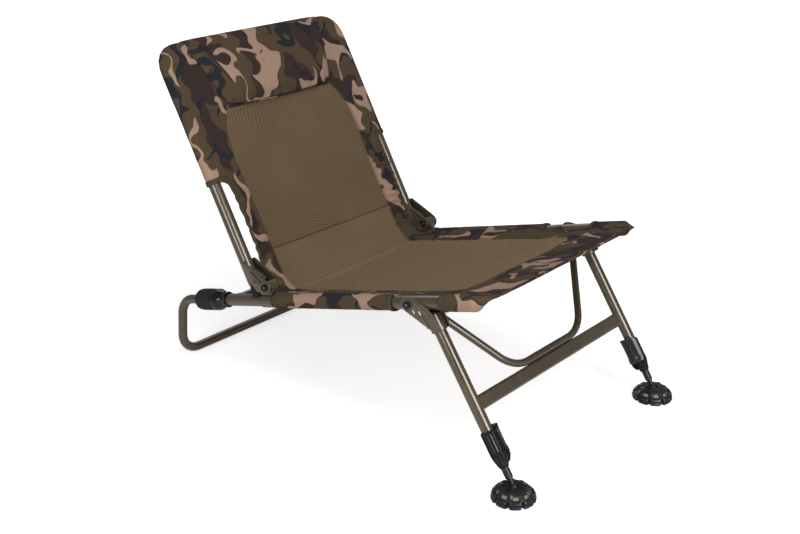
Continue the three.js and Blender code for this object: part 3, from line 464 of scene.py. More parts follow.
def printed_polyester():
    """Woven polyester with a printed camouflage: matt, and its print stays crisp to the thread."""
    def build(tree, shader):
        cloth = cloth_place(tree)
        woven(tree, shader, woodland_print(tree, cloth), cloth, PRINT_THREADS, 0.0003, 0.9)
        return bpy.context.scene.chair_cloth.olive
    return finish("printed woven polyester", CLOTH_SURFACE, build)


def stretch_mesh():
    """Knitted khaki mesh: the wales run up the back, and small holes between them, painted dark as shade,
    give a grain.
    """
    def build(tree, shader):
        chair = bpy.context.scene.chair_cloth
        cloth = cloth_place(tree)
        # Wales 1.2 mm apart are drawn at the mesh pitch, coarser, so that they show. A slow drift of the
        # pitch stands for the way the knit stretches over the frame.
        turns = 2 * math.pi / chair.mesh_pitch
        loose = add(tree, "TexNoise", {"Vector": cloth, "Scale": 6.0, "Detail": 0.0}, "Color")
        loose = add(tree, "VectorMath", {0: loose, "Scale": 0.085}, operation="SCALE")
        drawn = add(tree, "VectorMath", {0: cloth, 1: loose}, operation="ADD")
        parts = add(tree, "SeparateXYZ", {0: drawn}).node.outputs
        along = add(tree, "Math", {0: parts[1], 1: turns * 1.2}, operation="MULTIPLY")
        step = add(tree, "Math", {0: along}, operation="SINE")
        across = add(tree, "Math", {0: parts[0], 1: turns}, operation="MULTIPLY")
        across = add(tree, "Math", {0: step, 1: 0.9, 2: across}, operation="MULTIPLY_ADD")
        wale = add(tree, "Math", {0: across}, operation="SINE")
        knot = add(tree, "Math", {0: wale, 1: step}, operation="MULTIPLY")
        height = add(tree, "MapRange", {"Value": knot, "From Min": -0.9, "From Max": 0.5})
        hazy = add(tree, "TexNoise", {"Vector": cloth, "Scale": 9.0, "Detail": 2.0})
        haze = add(tree, "MapRange", {"Value": hazy, **NOISE_SPAN, "To Min": 0.93, "To Max": 1.06})
        # The knit's relief is also painted as shade and light: darker in the holes, lighter on the knots
        tone = add(tree, "MapRange", {"Value": height, "To Min": 0.56, "To Max": 1.31})
        tone = add(tree, "Math", {0: tone, 1: haze}, operation="MULTIPLY")
        # The lumbar piece below the seam is painted a little lighter: painted light, for the way it faces up
        # to the lamps
        length = add(tree, "SeparateXYZ", {0: cloth}, 1)
        lumbar_painted_light = add(tree, "MapRange", {"Value": length, "From Min": SEAM_T / MM - 0.001,
                                     "From Max": SEAM_T / MM + 0.001, "To Min": 1.16, "To Max": 1.0})
        tone = add(tree, "Math", {0: tone, 1: lumbar_painted_light}, operation="MULTIPLY")
        dressed(tree, shader, chair.mesh, tone, height, 0.7, 0.0007)
        return chair.mesh
    return finish("knitted khaki mesh", CLOTH_SURFACE, build)


def canvas():
    """Plain woven khaki canvas: matt, with threads just showing and a faint cloudiness from wear."""
    def build(tree, shader):
        chair = bpy.context.scene.chair_cloth
        cloth = cloth_place(tree)
        hazy = add(tree, "TexNoise", {"Vector": cloth, "Scale": 7.0, "Detail": 3.0})
        haze = add(tree, "MapRange", {"Value": hazy, **NOISE_SPAN, "To Min": 0.94, "To Max": 1.05})
        # Slubs in the yarn: short flecks along the cloth, drawn 6 mm wide so that they show
        long = add(tree, "Mapping", {"Vector": cloth, "Scale": (170, 95, 1)})
        flecks = add(tree, "TexNoise", {"Vector": long, "Scale": 1.0, "Detail": 1.0})
        fleck = add(tree, "MapRange", {"Value": flecks, **NOISE_SPAN, "To Min": 0.86, "To Max": 1.12})
        haze = add(tree, "Math", {0: haze, 1: fleck}, operation="MULTIPLY")
        colour = add(tree, "VectorMath", {0: chair.canvas, "Scale": haze}, operation="SCALE")
        woven(tree, shader, colour, cloth, CANVAS_THREADS, 0.0006, 0.68)
        return chair.canvas
    return finish("woven khaki canvas", CLOTH_SURFACE, build)


def plain_tape(name, colour):
    """Woven polyester tape: fine ribs across it and a dull face."""
    def build(tree, shader):
        place = add(tree, "TexCoord", out="Object")
        ribs = add(tree, "TexNoise", {"Vector": place, "Scale": 900.0, "Detail": 1.0})
        tone = add(tree, "MapRange", {"Value": ribs, **NOISE_SPAN, "To Min": 0.84, "To Max": 1.1})
        dressed(tree, shader, colour, tone, ribs, 0.4, 0.0002)
        return colour
    return finish(name, CLOTH_SURFACE, build)


def speckled(name, colour, surface, grain, depth, swing):
    """A finish whose colour and relief vary with a fine grain, its size in metres."""
    def build(tree, shader):
        place = add(tree, "TexCoord", out="Object")
        speck = add(tree, "TexNoise", {"Vector": place, "Scale": 1 / grain, "Detail": 2.0})
        drift = add(tree, "TexNoise", {"Vector": place, "Scale": 14.0, "Detail": 2.0})
        tone = add(tree, "MapRange",
                   {"Value": drift, **NOISE_SPAN, "To Min": 1 - swing, "To Max": 1 + swing})
        base = shader.inputs["Roughness"].default_value
        rough = add(tree, "MapRange",
                    {"Value": drift, **NOISE_SPAN, "To Min": base * 0.85, "To Max": base * 1.15})
        tree.links.new(rough, shader.inputs["Roughness"])
        dressed(tree, shader, colour, tone, speck, 0.35, depth)
        return colour
    return finish(name, surface, build)


def all_finishes():
    """Every finish of the chair, by the name that its pieces use."""
    frame_set, cloth = bpy.context.scene.chair_frame, bpy.context.scene.chair_cloth
    coat = {"Roughness": 0.3, "Specular IOR Level": 0.45, "Coat Weight": 0.8, "Coat Roughness": 0.14}
    return {
        # Powder-coated steel tube: a satin skin with a slight orange peel and long soft reflections
        "paint": speckled("powder-coated steel tube", frame_set.paint, {"Metallic": 0.4, **coat},
                          0.0016, 0.000008, 0.06),
        # Pressed steel fittings, powder-coated: the same skin, duller on the pressed flats
        "pressed": speckled("powder-coated pressed steel", frame_set.paint, {"Metallic": 0.35, **coat},
                            0.0016, 0.00001, 0.08),
        # Moulded nylon: a fine spark-eroded grain that spreads its reflections
        "nylon": speckled("moulded black nylon", frame_set.plastic, {
            "Roughness": 0.46, "IOR": 1.53, "Specular IOR Level": 0.12}, 0.0011, 0.00008, 0.1),
        # Levers and feet are smoother than the clamps, so they show lighter faces
        "lever": speckled("smooth moulded nylon", frame_set.plastic, {
            "Roughness": 0.26, "IOR": 1.53, "Specular IOR Level": 0.42}, 0.0014, 0.00003, 0.08),
        # The pale moulding inside the foot, seen through its windows
        "lining": speckled("moulded khaki nylon", linear("#8f8d78"), {
            "Roughness": 0.6, "IOR": 1.53, "Specular IOR Level": 0.3}, 0.0014, 0.00005, 0.06),
        # Polished ABS ring: black and glossy
        "gloss": speckled("polished black ABS", frame_set.gloss, {
            "Roughness": 0.14, "IOR": 1.54, "Specular IOR Level": 0.5}, 0.003, 0.000004, 0.05),
        # Soft-touch moulding on the grip: dark warm grey and dull
        "grip": speckled("soft-touch moulded grip", frame_set.grip, {
            "Roughness": 0.62, "IOR": 1.5, "Specular IOR Level": 0.12}, 0.0009, 0.0001, 0.06),
        # Moulded rubber: dead matt
        "rubber": speckled("moulded rubber", linear("#1c1c1e"), {
            "Roughness": 0.8, "IOR": 1.52, "Specular IOR Level": 0.3}, 0.001, 0.0001, 0.08),
        # Blackened steel: dark oxide over metal
        "oxide": speckled("blackened steel", linear("#2b2b2d"), {
            "Metallic": 0.75, "Roughness": 0.32}, 0.001, 0.00003, 0.1),
        # Bare zinc inside the bolt sockets
        "zinc": speckled("zinc-plated steel", linear("#b9bcc0"), {
            "Metallic": 1.0, "Roughness": 0.3}, 0.001, 0.00003, 0.05),
        # Grey-black telescopic steel leg, satin
        "leg": speckled("satin black steel leg", frame_set.leg, {
            "Metallic": 0.3, "Roughness": 0.34}, 0.0016, 0.00004, 0.08),
        "print": printed_polyester(),
        "mesh": stretch_mesh(),
        "canvas": canvas(),
        "tape": plain_tape("woven olive tape", cloth.tape),
        "seam": plain_tape("overlocked khaki seam", linear("#544735")),
        "thread": plain_tape("spun polyester thread", cloth.thread),
    }


# The sling: one cloth from the front hem over the seat, up the back and round the tubes.
# t is the length along the cloth from the hem, a the place across it, both in millimetres.

HEM = 33.5
CREASE = 506.6
EDGE = 222.5
# From the cloth's flat edge to the tube's middle
SLEEVE_LEAD = HALF_TRACK - EDGE
SLEEVE_REACH = 32.5
CREASE_T = HEM + CREASE
BACK_T = CREASE_T + 40
# Height up the back frame from which the cloth's back part is counted
BACK_START = 15.1
# Radii of the cloth round the tubes
SEAT_SLEEVE = 15.2
BACK_SLEEVE = 14.5
PANEL_FRONT = HEM + 79
PANEL_TOP = BACK_T + 380
PANEL_COLUMNS = 41
BAND_COLUMNS = 8
LEAST_BAND = 12
# The sling's finishes, by number
PRINT, MESH, CANVAS = range(3)
CLOTH_THICKNESS = 1.4
# Two stations this close are the same
CLOSE = 0.01
SEAM_T = BACK_T + 52
WINDOW = (HEM + 70, HEM + 181)
SEAT_SLEEVE_END = HEM + 489
BACK_SLEEVE_T = BACK_T + 210.9
CORNER_HEIGHT = 448.0
CORNER_REACH = 190.0
PAD_FOOT = 369.0
# Length of the web at each corner below the back's sleeves, and its step on the flat cloth in metres
WEB = 21.0
WEB_STEP = 0.005
# Height and length of the folds in each side's band, low on the back
FOLDS = {1: (6.4, 17.0), -1: (2.1, 26.0)}
# How steeply the cloth turns from its middle line to its edge line
SEAT_POWER = 3.3
BACK_POWER = 3.0
# Distance before and after a place over which the cloth's slope is taken
SLOPE_REACH = 3
# Step between the places that a line runs through, and the spread over which it is smoothed
LINE_STEP = 4
LINE_SPREAD = 5.0
# Rise of the cloth over the tubes' plane, at stations along the seat and heights up the back
SEAT_MIDDLE = ((-33.5, 5.2), (0, 2), (79, -3), (181, -7), (330, -8), (440, -6), (490, -3), (506.6, 1))
SEAT_EDGE = ((-33.5, 5.2), (0, 9), (35, 9.5), (70, 8.5), (100, 6.5), (125, 6), (150, 5.6), (181, 6.8),
             (200, 8), (250, 9.3), (400, 9.3), (489, 9), (506.6, 8))
BACK_MIDDLE = ((-28, 23), (-20, 19), (0, 12.5), (20, 9), (40, 7), (80, 3), (100, 2), (140, 4), (180, 7),
               (220, 9), (260, 10), (340, 12), (354, 15), (490, 15))
BACK_EDGE = ((-28, 25.5), (-20, 22), (0, 14), (40, 17), (90, 21), (140, 20), (180, 19), (211, 15.5),
             (490, 15.5))
# Half width of the khaki panel along the cloth
PANEL_HALF = ((0, 160), (PANEL_FRONT, 160), (HEM + 84, 170), (HEM + 95, 178), (HEM + 330, 181),
              (HEM + 440, 183), (HEM + 480, 185), (CREASE_T, 177), (BACK_T - 20, 179), (BACK_T + 60, 179),
              (BACK_T + 100, 177.5), (BACK_T + 200, 178), (BACK_T + 240, 181), (BACK_T + 280, 178),
              (BACK_T + 300, 174.5), (BACK_T + 320, 168), (BACK_T + 340, 156), (BACK_T + 354, 149),
              (PANEL_TOP, 140), (BACK_T + 490, 120))


def table(rows):
    """Rows of two values as two lists."""
    return [row[0] for row in rows], [row[1] for row in rows]


def lines_of_cloth():
    """The cloth's middle and edge lines, seen from the side, at every millimetre of its length."""
    def line(seat_rows, back_rows):
        """One line at every millimetre, from its rises along the seat and up the back."""
        stations = np.append(np.arange(-HEM, CREASE - 6, LINE_STEP), CREASE)
        heights = np.arange(-28, 490, LINE_STEP)
        seat = [SEAT @ Vector((0, s, np.interp(s, *table(seat_rows)))) for s in stations]
        back = [BACK @ Vector((0, TUBE_OFFSET - np.interp(u, *table(back_rows)), u + BACK_START))
                for u in heights]
        along = np.concatenate([stations + HEM, heights + BACK_T])
        path = np.array([(p.y, p.z) for p in seat + back]) * MM
        reach = np.arange(0, int(along[-1]) + 1)
        return np.stack([np.interp(reach, along, path[:, axis]) for axis in (0, 1)], 1)
    spread = np.arange(-15, 16)
    weights = np.exp(-spread ** 2 / (2 * LINE_SPREAD ** 2))
    weights /= weights.sum()
    smooth = []
    for path in (line(SEAT_MIDDLE, BACK_MIDDLE), line(SEAT_EDGE, BACK_EDGE)):
        before = 2 * path[0] - path[15:0:-1]
        after = 2 * path[-1] - path[-2:-17:-1]
        padded = np.concatenate([before, path, after])
        smooth.append(np.stack([np.convolve(padded[:, axis], weights, "valid") for axis in (0, 1)], 1))
    return smooth


MIDDLE_LINE, EDGE_LINE = lines_of_cloth()
CLOTH_LENGTH = len(MIDDLE_LINE) - 1


def on_line(line, t):
    """A line's place at t."""
    reach = np.arange(len(line))
    return np.array([np.interp(t, reach, line[:, 0]), np.interp(t, reach, line[:, 1])])


def gathers(t, a):
    """Rise of the cloth's small folds: puckers across the side bands, and long pulls along the front band."""
    u = t - BACK_T
    side = 1 if a > 0 else -1
    band = unit((abs(a) - 174) / 20)
    drift = noise.noise(Vector((u / 31, side * 4.0, 0.3)))
    rise = 0.0
    low = unit((u + 26) / 30) * unit((205 - u) / 45)
    strength, length = FOLDS[side]
    tilt = (abs(a) - 200) * 0.25
    fold = math.sin(2 * math.pi * (u + 14 * drift + tilt) / length)
    rise += band * low * strength * fold * (0.5 + abs(drift))
    high = unit((u - 285) / 20) * unit((352 - u) / 20)
    rise += band * high * 0.9 * math.sin(2 * math.pi * (u + 5 * drift) / 12)
    s = t - HEM
    if s < 110:
        front = unit((s + 34) / 22) * unit((96 - s) / 30)
        pull = noise.noise(Vector((a / 120, (s + a * 0.06) / 17, 7.7)))
        pull += 0.6 * noise.noise(Vector((a / 70, (s - a * 0.08) / 9, 3.3)))
        corner = max(0.0, (abs(a) - 120) / 100)
        rise += (2.2 + 1.6 * corner) * front * pull
    seat_band = band * unit((s - 185) / 20) * unit((500 - s) / 30)
    rise += 1.3 * seat_band * noise.noise(Vector((a / 22, s / 26, 2.1 * side)))
    rise += 1.1 * noise.noise(Vector((a / 75, (t + 0.4 * a) / 60, 5.0)))
    return rise


def cloth_point(t, a, lift=0.0):
    """A place on the cloth's face in row-frame millimetres, lifted square to it."""
    middle, edge = on_line(MIDDLE_LINE, t), on_line(EDGE_LINE, t)
    ahead, behind = min(t + SLOPE_REACH, CLOTH_LENGTH), max(t - SLOPE_REACH, 0)
    share = (abs(a) / EDGE) ** (SEAT_POWER if t < CREASE_T else BACK_POWER)
    line = middle + (edge - middle) * share
    onward = (on_line(MIDDLE_LINE, ahead) - on_line(MIDDLE_LINE, behind)) * (1 - share)
    onward = onward + (on_line(EDGE_LINE, ahead) - on_line(EDGE_LINE, behind)) * share
    onward = onward / np.linalg.norm(onward)
    rise = gathers(t, a) + lift
    return Vector((a, line[0] - onward[1] * rise, line[1] + onward[0] * rise))


def sleeve_section(rise, radius, fall=3.0):
    """Cloth from the panel's edge over a tube and back beneath: (outward, up) from the tube's middle."""
    ends = []
    for height, turn in ((rise, -1), (rise - fall, 1)):
        reach = math.hypot(SLEEVE_LEAD, height)
        angle = math.atan2(height, -SLEEVE_LEAD) + turn * math.acos(radius / reach)
        ends.append((height, angle))
    first, last = ends[0][1], ends[1][1] - 2 * math.pi
    angles = np.linspace(first, last, 25)
    around = [(radius * math.cos(a), radius * math.sin(a)) for a in angles]
    top, bottom = np.array((-SLEEVE_LEAD, rise)), np.array((-SLEEVE_LEAD, rise - fall))
    lead_in = [tuple(top * (1 - k) + np.array(around[0]) * k) for k in (0, 0.33, 0.67)]
    lead_out = [tuple(bottom * k + np.array(around[-1]) * (1 - k)) for k in (0.33, 0.67, 1)]
    return lead_in + around + lead_out


def pocket_section(rise, reach_share):
    """The sleeve's section where a front pocket closes from the tube's end, at 0, to the hem, at 1."""
    full = np.array(sleeve_section(rise, SEAT_SLEEVE))
    # The hem's flat end: how far out it reaches, its height, and half the gap between its two layers
    tip, height, gap = 229.6 - HALF_TRACK, 5.2, 0.9
    flat = []
    for along in (i / (len(full) - 1) for i in range(len(full))):
        out = 1 - abs(2 * along - 1)
        flat.append((-SLEEVE_LEAD + (tip + SLEEVE_LEAD) * min(1, 1.15 * out),
                     height + (gap if along < 0.5 else -gap)))
    flat = np.array(flat)
    places = [0, 0.15, 0.3, 0.5, 0.7, 0.85, 1]
    out = np.interp(reach_share, places, [1, 0.93, 0.76, 0.52, 0.3, 0.14, 0])
    over = np.interp(reach_share, places, [1, 0.9, 0.62, 0.42, 0.26, 0.12, 0])
    under = np.interp(reach_share, places, [1, 0.92, 0.62, 0.33, 0.14, 0.05, 0])
    lift = np.where(full[:, 1] > 0, over, under)
    return [(f[0] + (g[0] - f[0]) * out, f[1] + (g[1] - f[1]) * share)
            for f, g, share in zip(flat, full, lift)]


def seat_section(t, rise):
    """The section of the seat's sleeve at t."""
    s = t - HEM
    return pocket_section(rise, -s / HEM) if s < 0 else sleeve_section(rise, SEAT_SLEEVE)


def rows_between(*stations, step=3.6):
    """Places from one station to the next, no further apart than a step."""
    rows = []
    for start, end in zip(stations, stations[1:]):
        rows += list(np.linspace(start, end, max(1, math.ceil((end - start) / step)), endpoint=False))
    return rows + [stations[-1]]


def sling_form():
    """The whole sling's points, faces, cloth coordinates and the finish of each face."""
    corner = [BACK_T - BACK_START + CORNER_HEIGHT + SLEEVE_REACH * math.sin(angle)
              for angle in np.linspace(0, math.pi / 2, 9)]
    ts = rows_between(0, 6, HEM, WINDOW[0], PANEL_FRONT, WINDOW[1], SEAT_SLEEVE_END, CREASE_T,
                      CREASE_T + 12, SEAM_T, BACK_SLEEVE_T, corner[0])[:-1] + corner
    shares = np.linspace(-1, 1, PANEL_COLUMNS)
    columns = PANEL_COLUMNS + 2 * BAND_COLUMNS
    points, coords, kinds = [], [], []
    for t in ts:
        height = min(t - BACK_T + BACK_START, CORNER_HEIGHT + SLEEVE_REACH)
        over = max(0.0, height - CORNER_HEIGHT)
        half = CORNER_REACH + math.sqrt(max(0.0, SLEEVE_REACH ** 2 - over ** 2))
        inner = min(float(np.interp(t, *table(PANEL_HALF))), half - LEAST_BAND)
        bands = list(np.linspace(half, inner, BAND_COLUMNS + 1))[:-1]
        for a in [-a for a in bands] + [inner * share for share in shares] + bands[::-1]:
            points.append(cloth_point(t, a))
            coords.append((a / MM, t / MM))
    faces = net(len(ts), columns, False)
    for before, after in zip(ts, ts[1:]):
        middle = (before + after) / 2
        for i in range(columns - 1):
            inside = BAND_COLUMNS <= i < columns - 1 - BAND_COLUMNS and PANEL_FRONT < middle < PANEL_TOP
            kinds.append((MESH if middle > CREASE_T else CANVAS) if inside else PRINT)

    def joined(before, after, flip):
        """Faces between two rows of vertices."""
        for i in range(len(before) - 1):
            face = (before[i], before[i + 1], after[i + 1], after[i])
            faces.append(face[::-1] if flip else face)
            kinds.append(PRINT)

    def strip(chain, section_at, flip):
        """Cloth carried on from a chain of the panel's edge vertices, round the tube beside each."""
        rims = []
        for vertex, outward in chain:
            ring, reach = [vertex], 0.0
            for place, length in section_at(vertex, outward):
                reach += length
                ring.append(len(points))
                points.append(place)
                coords.append((coords[vertex][0] + outward[0] * reach / MM,
                               coords[vertex][1] + outward[1] * reach / MM))
            rims.append(ring)
        for before, after in zip(rims, rims[1:]):
            joined(before, after, flip)
        return rims

    def measured(section, place):
        """Each later point of a section in its place, with the length from the one before."""
        for before, now in zip(section, section[1:]):
            yield place(*now), math.hypot(now[0] - before[0], now[1] - before[1])

    def seat_places(vertex, outward):
        """The seat sleeve's section beside a vertex, a little swollen here and there."""
        local = SEAT.inverted() @ (points[vertex] / MM)
        t = coords[vertex][1] * MM
        ripple = 0.35 * noise.noise(Vector((outward[0] * 9, local.y / 24, 1.0)))

        def place(d, h):
            swell = 1 + ripple * max(0, (d + 22.5) / 38) / 16
            swell += 0.02 * noise.noise(Vector((d / 14, local.y / 21, h / 14 + outward[0] * 5)))
            return SEAT @ Vector((outward[0] * (HALF_TRACK + d * swell), local.y, h * swell)) * MM
        return measured(seat_section(t, local.z), place)

    def back_places(vertex, outward):
        """The back sleeve's section beside a vertex."""
        local = BACK.inverted() @ (points[vertex] / MM)
        rise = TUBE_OFFSET - local.y

        def place(d, h):
            swell = 1 + 0.025 * noise.noise(Vector((local.x / 19 + d / 17, local.z / 23, h / 17)))
            out = SLEEVE_LEAD + d * swell
            # The cloth's own corners are squarer than the bent tube inside them
            out *= 1 + 0.25 * (2 * outward[0] * outward[1]) ** 2 * max(0.0, out) / 37
            return BACK @ Vector((local.x + outward[0] * out, TUBE_OFFSET - h * swell,
                                  local.z + outward[1] * out)) * MM
        return measured(sleeve_section(rise, BACK_SLEEVE), place)

    edges = ((-1, 0), (1, columns - 1))
    for side, column in edges:
        for low, high in ((0, WINDOW[0]), (WINDOW[1], SEAT_SLEEVE_END)):
            strip([(row * columns + column, (side, 0)) for row, t in enumerate(ts)
                   if low - CLOSE <= t <= high + CLOSE], seat_places, side < 0)
    chains = []
    for side, column in edges:
        chains.append([])
        for row, t in enumerate(ts[:-1]):
            if t >= BACK_SLEEVE_T - CLOSE:
                over = max(0.0, t - BACK_T + BACK_START - CORNER_HEIGHT) / SLEEVE_REACH
                chains[-1].append((row * columns + column,
                                   (side * math.sqrt(max(0.0, 1 - over ** 2)), over)))
    top = (len(ts) - 1) * columns
    rims = strip(chains[0] + [(top + i, (0.0, 1.0)) for i in range(columns)] + chains[1][::-1],
                 back_places, True)
    # A small web of cloth rounds the corner between each sleeve's end and the free edge below it
    for (side, column), rim in zip(edges, (rims[0], rims[-1])):
        rings = []
        for row, t in enumerate(ts):
            if not BACK_SLEEVE_T - WEB - CLOSE <= t < BACK_SLEEVE_T - CLOSE:
                continue
            width = 1 - math.sqrt(1 - ((t - BACK_SLEEVE_T + WEB) / WEB) ** 2)
            ring = [row * columns + column]
            for step in rim[1:4]:
                ring.append(len(points))
                points.append(points[ring[0]] + (points[step] - points[rim[0]]) * width)
                coords.append((coords[ring[0]][0] + side * WEB_STEP * width * len(ring),
                               coords[ring[0]][1]))
            rings.append(ring)
        for before, after in zip(rings, rings[1:] + [rim[:4]]):
            joined(before, after, side < 0)
    return points, faces, coords, kinds


def lay_coords(mesh, coords):
    """Gives each vertex its place on the flat cloth, in metres, for the print and the weave."""
    layer = mesh.uv_layers.new(name="cloth")
    for loop in mesh.loops:
        layer.data[loop.index].uv = coords[loop.vertex_index]


def cloth_piece(name, points, faces, coords, kinds, finishes, thickness, body=None, offset=-1):
    """A cloth mesh, from points in row-frame millimetres, with its cloth coordinates and its thickness."""
    piece = meshed(name, [point / MM for point in points], faces, finishes)
    lay_coords(piece.data, coords)
    for polygon, kind in zip(piece.data.polygons, kinds or []):
        polygon.material_index = kind
    piece.data.shade_smooth()
    thick = piece.modifiers.new("Thickness", "SOLIDIFY")
    thick.thickness, thick.offset = thickness / MM, offset
    settle(piece)
    if body:
        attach(piece, body)
    return piece


def settle(piece):
    """Applies a piece's modifiers to its mesh."""
    bpy.context.view_layer.update()
    shaped = bpy.data.meshes.new_from_object(piece.evaluated_get(bpy.context.evaluated_depsgraph_get()))
    piece.modifiers.clear()
    piece.data = shaped
    piece.data.name = piece.name


def across_hinge(piece):
    """Bakes the placement of a piece that lies across the crease into its mesh; the piece rides on no body.
    """
    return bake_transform(piece)


class CHAIR_OT_sling(bpy.types.Operator):
    """Make the sling: printed side bands and sleeves, khaki canvas seat and khaki mesh back in one cloth"""
    bl_idname = "chair.sling"
    bl_label = "Sling"

    def execute(self, context):
        points, faces, coords, kinds = sling_form()
        sling = cloth_piece("sling", points, faces, coords, kinds, ["print", "mesh", "canvas"],
                            CLOTH_THICKNESS)
        across_hinge(sling)
        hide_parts("seat_cover", "back_cover")
        trims = sling_trims()
        return {"FINISHED"}


def ribbon(name, rows, coords_scale, finish_used, body, thickness=1.0, across=None):
    """A strip of cloth through rows of points; a printed one has its print run along X, from across."""
    coords = []
    for r, row in enumerate(rows):
        for c, point in enumerate(row):
            coords.append((c * coords_scale, r * coords_scale) if across is None
                          else (point[0] / MM, across + c * coords_scale))
    faces = net(len(rows), len(rows[0]), False)
    piece = cloth_piece(name, sum(rows, []), faces, coords, None, [finish_used], thickness, body, 0)
    return piece


TAPE_STEP = 0.004
PRINTED_STEP = 0.003
# How far a binding stands off the cloth: on it, and at its rolled lip
ON_SEAT, ON_BACK, AT_LIP = 0.9, 1.0, 0.5
# A tape folded over a free edge: out from the edge, and up
TAPE_FOLD = ((-6, 0.9), (-3, 1.2), (-0.3, 1.2), (0.9, 0.3), (0.9, -1.7), (-0.3, -2.6), (-3, -2.6),
             (-6, -2.4))
SEAM_RIDGE = ((-1.3, 0.1), (-0.6, 0.6), (0.6, 0.6), (1.3, 0.1))
HEM_FOLD = ((7, 0.2), (5.5, 1.0), (1.5, 1.3), (0, 0.8), (0, -1.6), (0, -2.2))


def seat_binding(side, t, inward):
    """Rows of a binding at the end of a seat sleeve, at t, with the way into the sleeve."""
    rows = []
    for into in (-0.6, 1.5, 4.5, 7.5):
        station = t + inward * into
        rise = (SEAT.inverted() @ (cloth_point(station, side * EDGE) / MM)).z
        section = spread_out(sleeve_section(rise, SEAT_SLEEVE), ON_SEAT if into > 0 else AT_LIP)
        rows.append([SEAT @ Vector((side * (HALF_TRACK + d), station - HEM, h)) * MM for d, h in section])
    return rows


def back_binding(side):
    """Rows of the binding at the lower end of a back sleeve."""
    rows = []
    for into in (-0.6, 1.5, 5.0, 9.0):
        local = BACK.inverted() @ (cloth_point(BACK_SLEEVE_T + into, side * EDGE) / MM)
        section = spread_out(sleeve_section(TUBE_OFFSET - local.y, BACK_SLEEVE),
                             ON_BACK if into > 0 else AT_LIP)
        rows.append([BACK @ Vector((side * (HALF_TRACK + d), TUBE_OFFSET - h, local.z)) * MM
                     for d, h in section])
    return rows


def edge_tape(side, low, high, crosses):
    """Rows of the tape on a free edge; the one that crosses the hinge runs out with the web at its top."""
    rows = []
    for t in rows_between(low, high, step=3.0):
        lean = unit((t - BACK_SLEEVE_T + WEB) / WEB) if crosses else 0.0
        turn = math.asin(lean)
        width = 11.5 * (1 - math.sqrt(1 - lean ** 2)) if crosses else 5.5 * math.exp((t - high) / 12)
        rows.append([cloth_point(t - out * math.sin(turn), side * (EDGE + width + out * math.cos(turn)), up)
                     for out, up in TAPE_FOLD])
    return rows


def pad_lip():
    """Rows of the pad's seam allowance, which lies on the mesh as a narrow rippled lip."""
    foot = BACK_T - BACK_START + PAD_FOOT
    rows = []
    for a in np.linspace(-147, 147, 99):
        ripple = 1.3 * math.sin(a / 4.1 + 2 * noise.noise(Vector((a / 23, 0.4, 6.0))))
        uneven = noise.noise(Vector((a / 17, 3.0, 1.0)))
        fall = -5.2 - 1.6 * uneven - 5.0 * (1 - (a / PAD_HALF[0]) ** 2) * 0.3
        rows.append([cloth_point(foot + d, a, up) for d, up in (
            (8, 1.0), (2, 1.6), (-1, 2.2 + ripple), (fall, 1.8 + ripple), (fall - 0.6, 0.9))])
    return rows


def sling_trims():
    """Bindings at the sleeves' ends and along the free edges, the mesh's seam and the stitching."""
    trims = []
    for name, side in SIDES:
        for place, t, inward in (("pocket", WINDOW[0], -1), ("window", WINDOW[1], 1),
                                 ("rear", SEAT_SLEEVE_END, -1)):
            trims.append(ribbon(f"{place}_binding_{name}", seat_binding(side, t, inward), TAPE_STEP, "tape",
                                "seat_frame"))
        trims.append(ribbon(f"back_binding_{name}", back_binding(side), TAPE_STEP, "tape", "back_frame"))
        trims.append(ribbon(f"window_tape_{name}", edge_tape(side, *WINDOW, False), TAPE_STEP, "tape",
                            "seat_frame", 0.5))
        trims.append(ribbon(f"waist_tape_{name}",
                            edge_tape(side, SEAT_SLEEVE_END, BACK_SLEEVE_T - 0.5, True), TAPE_STEP, "tape",
                            None, 0.5))
        across_hinge(trims[-1])
    rows = [[cloth_point(SEAM_T + d, a, up) for d, up in SEAM_RIDGE] for a in np.linspace(-178, 178, 61)]
    trims.append(ribbon("mesh_seam", rows, TAPE_STEP, "seam", "back_frame", 0.4))
    rows = [[cloth_point(max(0.0, d), a, up) for d, up in HEM_FOLD] for a in np.linspace(-212, 212, 61)]
    trims.append(ribbon("front_hem", rows, PRINTED_STEP, "print", "seat_frame", 0.8, 0.37))
    trims.append(ribbon("pad_lip", pad_lip(), PRINTED_STEP, "print", "back_frame", 0.8, 0.61))
    trims.append(seam_stitches())
    return trims


STITCH_LENGTH = 4
STITCH_PITCH = 5
# Places along a stitch, and its half width there
STITCH_SHAPE = ((0, 0.25), (0.3, 0.55), (0.7, 0.55), (1, 0.25))


def seam_stitches():
    """Two rows of raised stitches along the panel's front and its sides."""
    edge = [(t, float(np.interp(t, *table(PANEL_HALF)))) for t in np.arange(PANEL_FRONT, BACK_T + 352, 1.0)]
    front = [(PANEL_FRONT, a) for a in np.arange(-160, 160, 1.0)]
    runs = [front, [(t + 3.2, a) for t, a in front]]
    for _, side in SIDES:
        runs += [[(t, side * (a + gap)) for t, a in edge] for gap in (1.2, 4.4)]
    half = STITCH_LENGTH // 2
    points, faces = [], []
    for run in runs:
        for middle in range(half, len(run) - half - 1, STITCH_PITCH):
            first, last = (cloth_point(*run[middle + d], 0.2) for d in (-half, half))
            along = (last - first).normalized()
            up = (cloth_point(*run[middle], 1) - cloth_point(*run[middle])).normalized()
            across = along.cross(up)
            start = len(points)
            for share, size in STITCH_SHAPE:
                place = first.lerp(last, share)
                points += [place + across * size, place + up * size * 1.5, place - across * size]
            for ring in range(3):
                a = start + ring * 3
                faces += [(a, a + 1, a + 4, a + 3), (a + 1, a + 2, a + 5, a + 4), (a + 2, a, a + 3, a + 5)]
            faces += [(start + 2, start + 1, start), (start + 9, start + 10, start + 11)]
    stitches = meshed("seam_stitches", [point / MM for point in points], faces, ["thread"])
    across_hinge(stitches)
    return stitches


